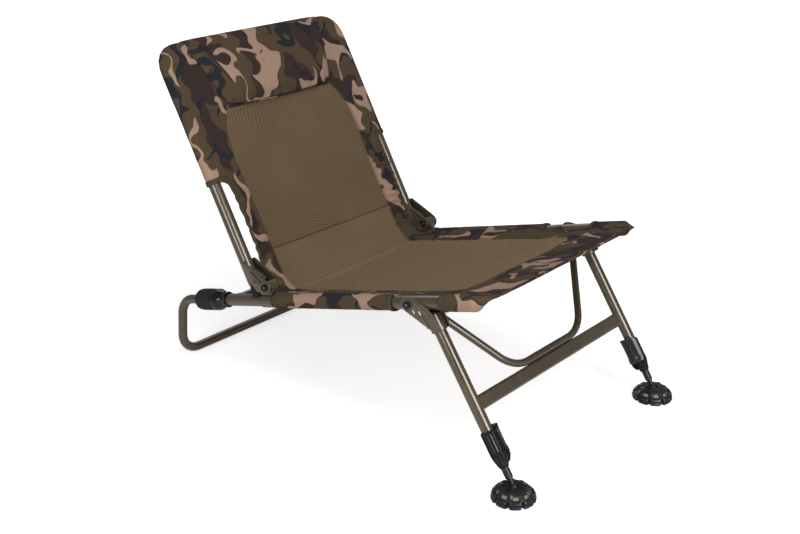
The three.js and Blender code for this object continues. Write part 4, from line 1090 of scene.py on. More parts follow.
def spread_out(section, amount):
    """A section moved outwards from itself."""
    corners = [np.array(point) for point in section]
    made = []
    for i, corner in enumerate(corners):
        onward = corners[min(i + 1, len(corners) - 1)] - corners[max(i - 1, 0)]
        normal = np.array((-onward[1], onward[0])) / np.linalg.norm(onward)
        made.append(tuple(corner + normal * amount))
    return made


# Headrest pad

BACK_TOP = 503.0
PAD_TOP = BACK_TOP - 4
# Height up the back, and the face's rise in front of the tubes' plane, where the pad is full
PAD_PROFILE = [(PAD_FOOT + up, rise) for up, rise in (
    (0, 17.5), (1, 24), (4, 30), (10, 35), (20, 38.5), (36, 40), (58, 38.5), (80, 34.5), (102, 28),
    (119, 22), (130, 17.6))]
PAD_BACK = 16.4
# Half widths at the pad's foot and top, and where it wraps the top bar
PAD_HALF = (149, 191)
WRAP_HALF = 190.0
# Radii of the wrap's face and of its lining
WRAP_FACE, WRAP_LINING = 17.4, 15.0
PAD_COLUMNS = 61
# The filling only shapes this length of the face, from the pad's foot
FILLED_LENGTH = 165
PAD_PLUMPNESS = 6.0
PAD_FILLING = {"quality": 6, "mass": 0.25, "tension_stiffness": 18, "compression_stiffness": 18,
               "bending_stiffness": 0.35, "use_pressure": True, "uniform_pressure_force": 4.0,
               "shrink_min": -0.035, "vertex_group_mass": "held"}
FILLING_FRAMES = 20
PUCKER_DEPTH = 6.0
PUCKER_PITCH = 27


def pad_half(height):
    """Half the pad's width at a height up the back."""
    return PAD_HALF[0] + (PAD_HALF[1] - PAD_HALF[0]) * min(1.0, (height - PAD_FOOT) / (PAD_TOP - PAD_FOOT))


def pad_form():
    """The pad's closed form: its face runs over the top bar and a little way down behind."""
    heights = list(np.linspace(PAD_FOOT, PAD_FOOT + 12, 6)) + list(np.linspace(PAD_FOOT + 17, PAD_TOP, 28))
    rows = []
    # The filling sags over the lower seam
    for height, front in ((PAD_FOOT + 6, 17.2), (PAD_FOOT + 2, 18.2), (PAD_FOOT - 1.5, 20.4),
                          (PAD_FOOT - 3, 24), (PAD_FOOT - 2.4, 28)):
        rows.append(((height, front), (PAD_FOOT + 6, PAD_BACK), pad_half(height), 1.0))
    for height in heights[2:]:
        rows.append(((height, float(np.interp(height, *table(PAD_PROFILE)))),
                     (max(height, PAD_FOOT + 6.5), PAD_BACK), pad_half(height), 1.0))
    for angle in np.linspace(80, -90, 15):
        up, out = math.cos(math.radians(angle)), math.sin(math.radians(angle))
        rows.append(((BACK_TOP + WRAP_FACE * up, WRAP_FACE * out),
                     (BACK_TOP + WRAP_LINING * up, WRAP_LINING * out), WRAP_HALF, 0.0))
    for height in np.linspace(BACK_TOP - 6, BACK_TOP - 50, 9):
        rows.append(((height, -WRAP_FACE), (height, -WRAP_LINING), WRAP_HALF, 0.0))
    shares = np.linspace(-1, 1, PAD_COLUMNS)
    shares = np.sign(shares) * (1 - (1 - np.abs(shares)) ** 1.35)
    points, coords, fixed, faces = [], [], [], []
    reach, before = 0.0, None
    for front, back, half, full in rows:
        reach += 0 if before is None else math.hypot(front[0] - before[0], front[1] - before[1])
        before = front
        foot = max(0.0, 1 - reach / 60)
        for layer in (0, 1):
            for share in shares:
                crown = (1 - abs(share) ** 5) ** 0.5 if full else 1 - 0.55 * abs(share) ** 8
                if layer == 0:
                    height = back[0] + (front[0] - back[0]) * crown
                    rise = back[1] + (front[1] - back[1]) * crown
                else:
                    height, rise = back
                bow = 5.0 * foot * (1 - share ** 2)
                points.append((share * half, TUBE_OFFSET - rise, height - bow))
                coords.append((share * half / MM + 3.37, reach / MM + 1.9))
                loose = full and layer == 0 and 0.0 < reach < FILLED_LENGTH and abs(share) < 0.999
                fixed.append(0.0 if loose else 1.0)
    count = len(shares)
    for row in range(len(rows) - 1):
        for i in range(count - 1):
            a = row * 2 * count + i
            faces.append((a, a + 1, a + 1 + 2 * count, a + 2 * count))
            b = a + count
            faces.append((b, b + 2 * count, b + 1 + 2 * count, b + 1))
        for i in (0, count - 1):
            a = row * 2 * count + i
            face = (a, a + 2 * count, a + 3 * count, a + count)
            faces.append(face if i == 0 else face[::-1])
    for row in (0, len(rows) - 1):
        for i in range(count - 1):
            a = row * 2 * count + i
            face = (a, a + count, a + 1 + count, a + 1)
            faces.append(face if row == 0 else face[::-1])
    return points, faces, coords, fixed


def puffed(piece, fixed, cap):
    """Fills the pad with pressure, and keeps each point within cap millimetres of where it was."""
    held = piece.vertex_groups.new(name="held")
    for number, weight in enumerate(fixed):
        held.add([number], weight, "REPLACE")
    start = [vertex.co.copy() for vertex in piece.data.vertices]
    cloth = piece.modifiers.new("Cloth", "CLOTH")
    for name, value in PAD_FILLING.items():
        setattr(cloth.settings, name, value)
    cloth.settings.effector_weights.gravity = 0
    cloth.collision_settings.use_collision = False
    cloth.point_cache.frame_start, cloth.point_cache.frame_end = 1, FILLING_FRAMES
    for number in range(1, FILLING_FRAMES + 1):
        bpy.context.scene.frame_set(number)
    filled = piece.evaluated_get(bpy.context.evaluated_depsgraph_get()).to_mesh()
    after = [vertex.co.copy() for vertex in filled.vertices]
    piece.modifiers.remove(cloth)
    for vertex, before, now in zip(piece.data.vertices, start, after):
        step = (now - before) * MM
        if step.length > cap:
            step *= cap / step.length
        vertex.co = before + step / MM
    bpy.context.scene.frame_set(1)


class CHAIR_OT_head_pad(bpy.types.Operator):
    """Make the padded headrest, filled, puckered along its lower seam and folded over the top bar"""
    bl_idname = "chair.head_pad"
    bl_label = "Headrest pad"

    def execute(self, context):
        points, faces, coords, fixed = pad_form()
        pad = meshed("head_cushion", [BACK @ Vector(point) for point in points], faces, ["print"])
        lay_coords(pad.data, coords)
        face_outward(pad.data)
        pad.data.shade_smooth()
        puffed(pad, fixed, PAD_PLUMPNESS)
        pucker(pad)
        fine = pad.modifiers.new("Fine", "SUBSURF")
        fine.levels = fine.render_levels = 1
        settle(pad)
        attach(pad, "back_frame")
        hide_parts("head_pad")
        return {"FINISHED"}


def pucker(pad):
    """Draws the face in along short folds that run up from the lower seam."""
    turned_in = BACK.to_3x3().normalized() @ Vector((0, 1, 0))
    inward = BACK.inverted()
    for vertex in pad.data.vertices:
        local = inward @ vertex.co
        rise = TUBE_OFFSET - local.y
        if rise < PAD_BACK + 1.5 or local.z > PAD_FOOT + 70:
            continue
        up = max(0.0, local.z - PAD_FOOT + 5)
        strength = math.exp(-up / 15)
        drift = noise.noise(Vector((local.x / 37, 1.7, 0.2)))
        fold = abs(math.sin(math.pi * (local.x + 16 * drift) / PUCKER_PITCH)) ** 0.6
        vertex.co += turned_in * 0.001 * PUCKER_DEPTH * strength * (1 - fold)


# Tubes and fittings, each in the leaned frame that carries it

# Stands a plate drawn in the first two axes across X
ACROSS = Matrix(((0, 0, 1, 0), (1, 0, 0, 0), (0, 1, 0, 0), (0, 0, 0, 1)))
TUBE = 12.5
CLAMP_FOOT = BALL_DISTANCE - 37.9
CLAMP_HEAD = CLAMP_FOOT - 69
LEG_TUBE_FOOT = CLAMP_HEAD + 40
LEVER_PIN = CLAMP_FOOT - 24
LEG_BAR = CLAMP_HEAD - 48.3
SEAT_TUBE_END = 636
REAR_BAR = 616
# Stations of the rear support's top and knees
SUPPORT_TOP, SUPPORT_KNEE = 450, 789
THIN_TUBE = 9.5
# Length and radius of the inner leg, and radii of its ball and its neck
INNER_LEG = 192.9
SLIDE_LEG = 7.25
BALL, NECK = 7.0, 3.2
# Station of the leg brackets' bolts, and heights of the rolled sleeve's foot and head
EAR_STATION = 141.5
BRACKET_FOOT, BRACKET_HEAD = -64.6, -34
# Station at which the collars start
COLLAR_START = 636.3
FLUTES_MIDDLE = 692
BOLT_HOLE = arc((0, 0), 4.4, 0, 360, 24)[:-1]


def leg_axis(x):
    """A front leg's middle line, at a place across."""
    return LEG @ Matrix.Translation((x, -LEG_OFFSET, 0))


def mirrored(corners):
    """Corners of one side and then, backwards, of the other."""
    return corners + [(-x, y, z) for x, y, z in reversed(corners)]


def bead(route, half_width, half_height, sides=12):
    """A raised bead along a route that lies flat in X."""
    return swept(route, oval(half_height, half_width, sides))


def welded(centre, axis_turn, radius, size):
    """A weld's small ring of ripples."""
    ring = [(size * math.sin(a), radius + size * math.cos(a)) for a in np.linspace(0, 2 * math.pi, 9)]
    ring[-1] = ring[0]
    ripples = turned(ring, 72, lambda angle, along: 0.018 * math.sin(angle * 22))
    return moved(ripples, Matrix.Translation(centre) @ axis_turn)


class CHAIR_OT_tubes(bpy.types.Operator):
    """Make the bent and straight tubes of the seat, back, legs and rear support, with their welds"""
    bl_idname = "chair.tubes"
    bl_label = "Tubes"

    def execute(self, context):
        for name, side in SIDES:
            x = side * HALF_TRACK
            tube = rounded([(0, 0), (0, TUBE), (SEAT_TUBE_END, TUBE), (SEAT_TUBE_END, 0)], 0.7, False)
            make(f"side_tube_{name}", turned(tube, 40), SEAT @ aside(x) @ TURN_TO_Y, "paint", "seat_frame",
                 f"seat_tube_{name}")
            # The pipe is bored from below for the inner leg
            pipe = [(-50, 0), (-50, 9.5), (-LEG_TUBE_FOOT, 9.5), (-LEG_TUBE_FOOT, 11), (BRACKET_HEAD, 11),
                    (BRACKET_HEAD, 0)]
            make(f"leg_pipe_{name}", turned(rounded(pipe, 0.6, False), 40), leg_axis(x), "paint",
                 "leg_frame", f"leg_tube_{name}")
            cone = -BALL_DISTANCE + 1.5 * BALL
            low = math.degrees(math.asin(NECK / BALL))
            foot = [(-BALL_DISTANCE + u, v) for u, v in arc((0, 0), BALL, 180, low, 16)]
            rows = foot + [(cone, NECK), (cone + 9, SLIDE_LEG), (INNER_LEG - BALL_DISTANCE, SLIDE_LEG),
                           (INNER_LEG - BALL_DISTANCE, 0)]
            rows[0] = (rows[0][0], 0)
            make(f"slide_leg_{name}", turned(rows, 40), leg_axis(x), "leg", f"inner_leg_{name}",
                 f"inner_leg_{name}")
        half = HALF_TRACK - 8
        ends = [welded((side * (HALF_TRACK - TUBE + 0.5), REAR_BAR, 0), TURN_TO_X, 9.7, 1.1)
                for _, side in SIDES]
        rear = bar([(-half, REAR_BAR, 0), (half, REAR_BAR, 0)], THIN_TUBE, 40)
        make("rear_bar", together(rear, *ends), SEAT, "paint", "seat_frame", "rear_crossbar")
        up = [(HALF_TRACK, TUBE_OFFSET, 16), (HALF_TRACK, TUBE_OFFSET, BACK_TOP)]
        route = bent(mirrored(up), [55, 55], 18)
        make("back_bow", bar(route, TUBE, 40), BACK, "paint", "back_frame", "back_frame_tube")
        knee = SEAT @ Vector((0, SUPPORT_KNEE, 0)) * MM
        inner = SEAT @ Vector((0, SUPPORT_TOP, 0)) * MM
        foot = knee.y + (knee.z - THIN_TUBE) * math.tan(math.radians(5))
        down = [(HALF_TRACK, inner.y, inner.z), (HALF_TRACK, knee.y, knee.z), (HALF_TRACK, foot, THIN_TUBE)]
        route = bent(mirrored(down), [48, 45, 45, 48], 14)
        make("support_bow", bar(route, THIN_TUBE, 40), IN_METRES, "paint", "rear_support",
             "rear_support_loop")
        flat = arc((-LEG_OFFSET, 7.5 - LEG_BAR), 6, 0, 180, 14)
        flat += arc((-LEG_OFFSET, -7.5 - LEG_BAR), 6, 180, 360, 14)
        half = HALF_TRACK - 6
        rims = []
        for _, side in SIDES:
            for height in (13.4, -13.4):
                place = (side * (HALF_TRACK - 11), -LEG_OFFSET, height - LEG_BAR)
                rims.append(moved(turned(arc((0, 0), 2.0, 180, 0, 8), 14), Matrix.Translation(place)))
        cross = moved(plate(flat, [], -half, half, 0.5), ACROSS)
        make("leg_bar", together(cross, *rims), LEG, "paint", "leg_frame", "leg_crossbar")
        foot_height = -LEG_BAR + 13.5 + 7
        top = HALF_TRACK - TUBE
        corners = [(top, 15 - LEG_OFFSET, -19), (HALF_TRACK * 0.4465, -LEG_OFFSET, foot_height)]
        route = bent(mirrored(corners), [80, 80], 16)
        make("brace_bow", bar(route, 7, 32), LEG, "paint", "leg_frame", "leg_brace")
        return {"FINISHED"}


def socket_bolt(reach):
    """Both heads of a pivot bolt on its shank along X, with a hexagon socket in each face."""
    forms = []
    for end in (-1, 1):
        out, top = reach, reach + 4.4
        head = [(out, 0), (out, 6.9), *rounded([(out, 6.9), (top, 6.75), (top, 3.0)], 1.2, False)[1:-1],
                (top, 3.3), (top - 0.4, 2.9), (top - 2.4, 2.9), (top - 2.4, 0)]
        forms.append(moved(turned(head, 48), Matrix.Scale(end, 4, (0, 0, 1))))
    forms.append(turned([(-reach, 0), (-reach, 4), (reach, 4), (reach, 0)], 24))
    return moved(together(*forms), TURN_TO_X)


def hexagon(reach):
    """The bright bottoms of a bolt's two sockets."""
    discs = []
    for end in (-1, 1):
        low, high = reach + 1.6, reach + 2.5
        disc = turned([(low, 0), (low, 2.85), (high, 2.7), (high, 0)], 6)
        discs.append(moved(disc, Matrix.Scale(end, 4, (0, 0, 1))))
    return moved(together(*discs), TURN_TO_X)


def pressed_plate(outline, holes, inner, outer, face, beads, rings):
    """A pressed plate across X, with raised beads and rings on its outward face."""
    low, high = sorted((inner, outer))
    forms = [moved(plate(outline, holes, low, high, 0.55), ACROSS)]
    for route, width in beads:
        forms.append(bead([(face, y, z) for y, z in route], width, 2.6))
    for centre, radius, width in rings:
        circle = [(face, y, z) for y, z in arc(centre, radius, 0, 360, 36)]
        forms.append(swept(circle, oval(0.8, width, 10), False))
    return together(*forms)


class CHAIR_OT_back_hinges(bpy.types.Operator):
    """Make the back hinges: saddles, bushes, pressed plates, bolts and rubber stops"""
    bl_idname = "chair.back_hinges"
    bl_label = "Back hinges"

    def execute(self, context):
        # The plate's edge, and on its face a bead along its rear rim, a ridge up its middle and a hooked bead
        outline = rounded([*arc((0, 0), 14, 145, 325, 28), (27, -2), (39, 24), (42, 64), (31, 64)], 2.2)
        rim = [(-9.5 + 42 * t, 7 + 55 * t) for t in np.linspace(0.1, 0.98, 12)]
        ridge = [(6.5 + 17 * t, 12.5 + 26 * t) for t in np.linspace(0, 1, 9)]
        hook = [(27, 17), (22, 19), (17, 19.5), (13, 17), (10.5, 12.5)]
        beads = [(rim, 2.1), (ridge, 2.2), (hook, 1.6)]
        tongue = rounded([(TUBE_OFFSET - 10.5, 46), (TUBE_OFFSET, 50), (TUBE_OFFSET - 4, 17), (9, 15),
                          (11, 23)], 3)
        for name, side in SIDES:
            x = side * HALF_TRACK
            make(f"hinge_tongue_{name}", moved(plate(tongue, [], -9.5, 9.5, 3), ACROSS), BACK @ aside(x),
                 "paint", "back_frame")
            for place, facing in (("outer", side), ("inner", -side)):
                face = facing * 15.3
                make(f"hinge_plate_{place}_{name}",
                     pressed_plate(outline, [BOLT_HOLE], facing * 12.8, face, face, beads,
                                   [((0, 0), 10.6, 1.5)]), BACK @ aside(x), "pressed", "back_frame",
                                   f"back_plate_{place}_{name}")
            make(f"stop_block_{name}", self.stop_block(), BACK @ aside(x), "rubber", "back_frame",
                 f"stop_bumper_{name}")
            hinge = SEAT @ Matrix.Translation((x, HINGE_STATION, HINGE_RISE))
            bush = [(-12.5, 4.3), (-12.5, 10.2), (-11.8, 11), (11.8, 11), (12.5, 10.2), (12.5, 4.3),
                    (-12.5, 4.3)]
            make(f"pivot_bush_{name}", turned(bush, 48), hinge @ TURN_TO_X, "pressed", "seat_frame",
                 f"hinge_bush_{name}", slot="bush_paint")
            make(f"pivot_bolt_{name}", socket_bolt(16.4), hinge, "oxide", "seat_frame",
                 f"hinge_bolt_{name}")
            make(f"pivot_socket_{name}", hexagon(16.4), hinge, "zinc", "seat_frame")
            make(f"tube_saddle_{name}", self.saddle(), SEAT @ aside(x), "pressed", "seat_frame",
                 f"seat_saddle_{name}")
        return {"FINISHED"}

    def saddle(self):
        """A ring round the side tube with cheeks up to the bush."""
        first, last = HINGE_STATION - 5, HINGE_STATION + 27
        ring = [(first, 12.7), (first, 14), (first + 0.7, 14.6), (last - 0.7, 14.6), (last, 14),
                (last, 12.7), (first, 12.7)]
        web = rounded([(HINGE_STATION - 9, 15.2), (first + 2, 13.2), (last - 1, 13.2), (last + 0.5, 17),
                       (HINGE_STATION + 19, HINGE_RISE - 2), (HINGE_STATION + 11.4, HINGE_RISE + 1),
                       *arc((HINGE_STATION, HINGE_RISE), 11.3, 0, -180, 16)[1:],
                       (HINGE_STATION - 12.6, HINGE_RISE - 3)], 1.0)
        lips = [bead([(x, HINGE_STATION - 9, 16), (x, HINGE_STATION - 12, HINGE_RISE - 6)], 1.0, 0.8)
                for x in (-9, 9)]
        return together(moved(turned(ring, 56), TURN_TO_Y), moved(plate(web, [], -9, 9, 0.9), ACROSS),
                        *lips)

    def stop_block(self):
        """A rubber block on two cheeks, square to the seat while it rides with the back."""
        turn = Matrix.Rotation(math.radians(BACK_RECLINE - SEAT_TILT), 4, "X")
        first, low = HINGE_STATION + 29, TUBE - 2.2
        lean = turn @ Matrix.Translation((0, -HINGE_STATION, -HINGE_RISE))
        profile = rounded([(first, low + 2.4), (first + 18, low + 2.4), (first + 18, low + 24),
                           (first, low + 24)], 1.5)
        forms = [moved(plate(profile, [], -12.4, 12.4, 0.8), ACROSS)]
        for x in (-1, 1):
            edge = rounded([(first, low), (first + 18, low), (first + 18, low + 3), (first, low + 3)], 0.8)
            cheek = plate(edge, [], *sorted((x * 8.3, x * 12.4)), 0.6)
            forms.append(moved(cheek, ACROSS))
        return moved(together(*forms), lean)


class CHAIR_OT_twist_collars(bpy.types.Operator):
    """Make the twist collars: necked ferrules, polished rings and soft grips"""
    bl_idname = "chair.twist_collars"
    bl_label = "Twist collars"

    def execute(self, context):
        for name, side in SIDES:
            place = SEAT @ aside(side * HALF_TRACK) @ TURN_TO_Y
            start = COLLAR_START
            ferrule = rounded([(602, 9.8), (602, 10.7), (start, 10.7), (start, 13.2), (start + 0.4, 15.6),
                               (start + 2.2, 16.3), (start + 4, 15.9), (start + 4.8, 14.6),
                               (start + 14, 14.6), (start + 14, 12), (start + 40, 12), (start + 40, 9.8)],
                               0.6, steps=5)
            make(f"tube_ferrule_{name}", turned([*ferrule, ferrule[0]], 112), place, "gloss", "seat_frame",
                 f"collar_ferrule_{name}")
            ring = start + 14.3
            profile = rounded([(ring, 12.5), (ring, 15.2), (ring + 1.2, 16), (ring + 11.5, 21.4),
                               (ring + 14, 22.2), (ring + 24, 22.2), (ring + 24.8, 21.6),
                               (ring + 25.2, 18.6), (ring + 27, 18.4), (ring + 27, 12.5)], 0.8, steps=6)
            make(f"polished_ring_{name}", turned([*profile, profile[0]], 144), place, "gloss",
                 f"collar_{name}")
            grip = ring + 27.2
            end = start + 92.3
            profile = rounded([(grip, 12.5), (grip, 21.2), (grip + 0.9, 22.3), (end - 17, 22.3),
                               (end - 8, 21.2), (end - 3, 18.2), (end - 0.6, 15.2), (end, 13), (end, 9.9),
                               (grip + 1.5, 9.9), (grip + 1.5, 12.5)], 3.0, steps=5)
            flutes = turned([*profile, profile[0]], 120, self.flute)
            make(f"soft_grip_{name}", flutes, place, "grip", f"collar_{name}", f"collar_grip_{name}")
        return {"FINISHED"}

    @staticmethod
    def flute(angle, along):
        """Shallow flutes that run out before the grip's shoulders."""
        middle = max(0.0, 1 - abs(along - FLUTES_MIDDLE) / 16)
        return -0.012 * min(1.0, 3 * middle) * max(0.0, math.cos(15 * angle)) ** 4


class CHAIR_OT_leg_brackets(bpy.types.Operator):
    """Make the rolled leg brackets with their bolts, and the plugs in the legs' tops"""
    bl_idname = "chair.leg_brackets"
    bl_label = "Leg brackets"

    def execute(self, context):
        front = -LEG_OFFSET - 14.8
        boss = arc((0, 0), 14, -25, 120, 26)
        start, corner, end = np.array(boss[-1]), np.array((-LEG_OFFSET, 2.0)), np.array((front, -38.0))
        throat = [tuple((1 - t) ** 2 * start + 2 * t * (1 - t) * corner + t ** 2 * end)
                  for t in np.linspace(0, 1, 18)[1:]]
        outline = rounded([*boss, *throat, (front, BRACKET_FOOT), (-LEG_OFFSET + 1, BRACKET_FOOT)],
                          2.0)
        windows = [rounded([(y - 2.2, z - 4), (y + 1.4, z - 4), (y + 2.2, z + 4), (y - 1.4, z + 4)], 1.5)
                   for y, z in ((-6, -16), (-18, -22.5))]
        rim = [(-11 - 25 * t - 3 * t * (1 - t), 7.5 - 44 * t + 8 * t * (1 - t))
               for t in np.linspace(0, 1, 16)]
        beads = [(rim, 2.4), ([(-19.5 - 4 * t, -29 - 24 * t) for t in np.linspace(0, 1, 10)], 2.2)]
        for name, side in SIDES:
            x = side * HALF_TRACK
            forms = []
            for facing in (-1, 1):
                face = facing * 15.1
                forms.append(pressed_plate(outline, [BOLT_HOLE, *windows], facing * 13.1, face, face, beads,
                                           [((0, 0), 10.4, 1.3)]))
            sleeve = [(BRACKET_FOOT, 11.3), (BRACKET_FOOT, 14.2), (-64, 14.8), (-34.6, 14.8),
                      (BRACKET_HEAD, 14.2), (BRACKET_HEAD, 11.3), (BRACKET_FOOT, 11.3)]
            forms.append(moved(turned(sleeve, 56), Matrix.Translation((0, -LEG_OFFSET, 0))))
            forms.append(welded((0, -LEG_OFFSET, -65.0), Matrix.Identity(4), 11.9, 0.9))
            make(f"rolled_bracket_{name}", together(*forms), LEG @ aside(x), "pressed", "leg_frame",
                 f"leg_bracket_{name}")
            place = SEAT @ Matrix.Translation((x, EAR_STATION, 0))
            make(f"ear_bolt_{name}", socket_bolt(15.4), place, "oxide", "seat_frame", f"leg_bolt_{name}")
            make(f"ear_socket_{name}", hexagon(15.4), place, "zinc", "seat_frame")
            lean = math.radians(LEG_LEAN - SEAT_TILT)
            drop = (TUBE + 0.3 + 14.6 + LEG_OFFSET * math.sin(lean)) / math.cos(lean)
            spread = math.degrees(math.asin(11 / 14.6))
            dome = [(14.6 * math.cos(a) - drop, 14.6 * math.sin(a))
                    for a in np.radians(np.linspace(spread, 0, 9))]
            rows = [(-46, 0), (-46, 9.2), (-33.7, 9.2), (-33.7, 10.6), (-33.3, 11), *dome[:-1],
                    (dome[-1][0], 0)]
            make(f"domed_plug_{name}", turned(rows, 48), leg_axis(x), "nylon", "leg_frame",
                 f"leg_plug_{name}")
        return {"FINISHED"}


class CHAIR_OT_leg_clamps(bpy.types.Operator):
    """Make the ribbed leg clamps with their cam levers and pins"""
    bl_idname = "chair.leg_clamps"
    bl_label = "Leg clamps"

    def execute(self, context):
        for name, side in SIDES:
            inward = -side
            place = leg_axis(side * HALF_TRACK)
            body = [(-CLAMP_HEAD - 39, 7.6), (-CLAMP_HEAD - 39, 11.3), (-CLAMP_HEAD, 11.3),
                    (-CLAMP_HEAD, 12.9), (-CLAMP_HEAD - 1.4, 13.9)]
            body += [(-CLAMP_HEAD - d, 14.6) for d in np.linspace(4, 42, 14)]
            body += [(-CLAMP_HEAD - 44 - 22.5 * t, 14.6 - 5 * t ** 1.25) for t in np.linspace(0, 1, 10)]
            body += [(-CLAMP_FOOT + 0.5, 8.9), (-CLAMP_FOOT, 8.4), (-CLAMP_FOOT, 7.6),
                     (-CLAMP_HEAD - 39, 7.6)]
            lugs = []
            for end in (-1, 1):
                low, high = sorted((end * 7.9, end * 10.5))
                ear = rounded([(4, over_pin(-19)), (11, over_pin(-17)), (18.4, over_pin(-8)),
                               (19.4, over_pin(0)), (17.6, over_pin(5)), (6, over_pin(9))], 2.4)
                lugs.append(moved(plate(ear, [], low, high, 0.6), self.beside(inward)))
            facing = 0 if inward > 0 else math.pi
            turned_body = moved(turned(body, 144, self.grooves), Matrix.Rotation(facing, 4, "Z"))
            make(f"ribbed_clamp_{name}", together(turned_body, *lugs), place, "nylon", "leg_frame",
                 f"clamp_body_{name}")
            pin = rounded([(-11.9, 0), (-11.9, 1.6), (11.9, 1.6), (11.9, 0)], 0.5, False)
            beside = Matrix.Translation((inward * 16.6, 0, -LEVER_PIN)) @ TURN_TO_Y
            make(f"clamp_pin_{name}", moved(turned(pin, 24), beside), place, "oxide", "leg_frame",
                 f"lever_pin_{name}")
            shell = moved(self.lever(), Matrix.Rotation(facing, 4, "Z"))
            make(f"lever_shell_{name}", shell, place, "lever", f"lever_{name}", f"cam_lever_{name}",
                 smooth=50)
        return {"FINISHED"}

    @staticmethod
    def beside(inward):
        """From a profile's plane, outward from the leg and up it, to the clamp's inner side."""
        return Matrix(((inward, 0, 0, 0), (0, 0, -inward, 0), (0, 1, 0, 0), (0, 0, 0, 1)))

    @staticmethod
    def grooves(angle, along):
        """Deep grooves between the clamp's flat ribs, and at angle 0 a pocket for the lever's heel."""
        depth = unit((-CLAMP_HEAD - 3 - along) / 1.5) * unit((along + CLAMP_FOOT - 6) / 16)
        turn = abs(math.degrees((angle + math.pi) % (2 * math.pi) - math.pi))
        cut = max(max(0.0, 1 - (abs(turn - middle) / 10) ** 4) for middle in (92, 128, 164))
        flat = 0.022 * math.cos(math.radians(10 * (turn - 146)))
        pocket = unit((9 - abs(along + LEVER_PIN)) / 2.5) * unit((66 - turn) / 8)
        return -0.28 * depth * cut - flat * depth - 0.2 * pocket

    @staticmethod
    def lever():
        """A half-round shell over the clamp's inner side: flared at its top and rolled round the pin."""
        rings = []
        # Rise over the pin, half angle, inner and outer radius
        for rise, half, inside, outside in (
                (-4, 36, 16.4, 18.0), (-2.8, 44, 15.8, 20.2), (0, 54, 15.6, 21.6), (6, 62, 15.6, 21.4),
                (9, 66, 15.6, 20.6), (13, 70, 15.6, 20.2), (28, 74, 15.6, 20.2), (40, 72, 15.7, 20.4),
                (46, 62, 16.2, 20.8), (49.4, 48, 17.0, 21.4), (50.6, 40, 18.2, 21.0)):
            angles = np.radians(np.linspace(-half, half, 25))
            outer = [(outside * math.cos(a), outside * math.sin(a), rise - LEVER_PIN) for a in angles]
            inner = [(inside * math.cos(a), inside * math.sin(a), rise - LEVER_PIN) for a in angles[::-1]]
            rings.append(outer + inner)
        count = len(rings[0])
        faces = net(len(rings), count)
        last = (len(rings) - 1) * count
        for i in range(24):
            faces.append((i + 1, i, count - 1 - i, count - 2 - i))
            faces.append((last + i, last + i + 1, last + count - 2 - i, last + count - 1 - i))
        return sum(rings, []), faces


def over_pin(rise):
    """Height of a point of the clamp, given as a rise over the lever's pin."""
    return rise - LEVER_PIN


class CHAIR_OT_mud_feet(bpy.types.Operator):
    """Make the mud feet: domes of nine blocks with windows, forked ribs, a lining and a ball socket"""
    bl_idname = "chair.mud_feet"
    bl_label = "Mud feet"

    def execute(self, context):
        ball = joint_place("foot_tilt_left")
        for name, side in SIDES:
            place = IN_METRES @ Matrix.Translation((side * HALF_TRACK, ball.y, 0))
            foot = make(f"lobed_foot_{name}", self.dome(), place, "lever", None, smooth=60)
            shell = foot.modifiers.new("Shell", "SOLIDIFY")
            shell.thickness, shell.offset = 0.0024, -1
            fine = foot.modifiers.new("Fine", "SUBSURF")
            fine.levels = fine.render_levels = 1
            settle(foot)
            foot.data.shade_smooth()
            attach(foot, f"foot_{name}")
            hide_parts(f"mud_foot_{name}")
            socket = rounded([(8.8, 0), (8.8, 8.5), (19.5, 9.6), (21, 12.4), (25.4, 11.6), (27.2, 9.6),
                              (25.4, 8.3), (23, 7.7), (17, 5.4), (15.2, 0)], 0.7, False)
            make(f"ball_socket_{name}", turned(socket, 56, self.notch), place, "lever", f"foot_{name}")
            lining = rounded([(22.0, 11.6), (22.6, 13), (21.2, 20.6), (18.4, 26.2), (13.6, 30.8),
                              (12, 30.6), (12.4, 29), (17.2, 24.8), (19.8, 19.8), (20.8, 12.4)], 0.5)
            make(f"foot_lining_{name}", turned([*lining, lining[0]], 48), place, "lining", f"foot_{name}")
        return {"FINISHED"}

    @staticmethod
    def notch(angle, along):
        """Six shallow lobes round the socket's rim."""
        return 0.035 * math.cos(6 * angle) * unit((along - 19) / 3)

    @staticmethod
    def dome():
        """The foot's skin: raised ribs run down to nine blocks, with a window over each block."""
        # Radius and height, from crown to rim
        rows = [(9.2, 25.2), (10.6, 26.6), (13.5, 26.4), (17.5, 26.0), (20.5, 25.6), (24, 24.0),
                (27.2, 21.6), (28.4, 20.4), (31.0, 17.4), (32.4, 16.2), (35.4, 14.6), (37.6, 13.2),
                (38.8, 11.2), (39.0, 9.0), (37.6, 8.2), (37.4, 7.0), (39.6, 6.2), (40.2, 4.6), (40.0, 1.6),
                (39.0, 0.3)]
        blocks, columns = 9, 12
        count = blocks * columns
        points = []
        for number, (radius, height) in enumerate(rows):
            for i in range(count):
                angle = 2 * math.pi * (i + 0.5) / count
                across = abs(((i + 0.5) % columns) / columns - 0.5) * 2
                gap = unit((across - 0.8) / 0.1)
                rim = max(0.0, 1 - abs(across - 0.7) / 0.14)
                reach, rise = radius, height
                if number >= 11:
                    reach -= 6.5 * gap
                if number >= 9:
                    reach += 0.9 * rim
                if 4 <= number <= 10:
                    rise += 1.5 * max(gap, rim)
                    reach += 0.9 * max(gap, rim)
                if 13 <= number <= 16 and rim > 0:
                    reach += 1.3 * rim
                points.append((reach * math.cos(angle), reach * math.sin(angle), rise))
        return points, [face for face in net(len(rows), count)
                        if not (face[0] // count in (7, 8) and 3 <= face[0] % columns <= 8)]


# Stage

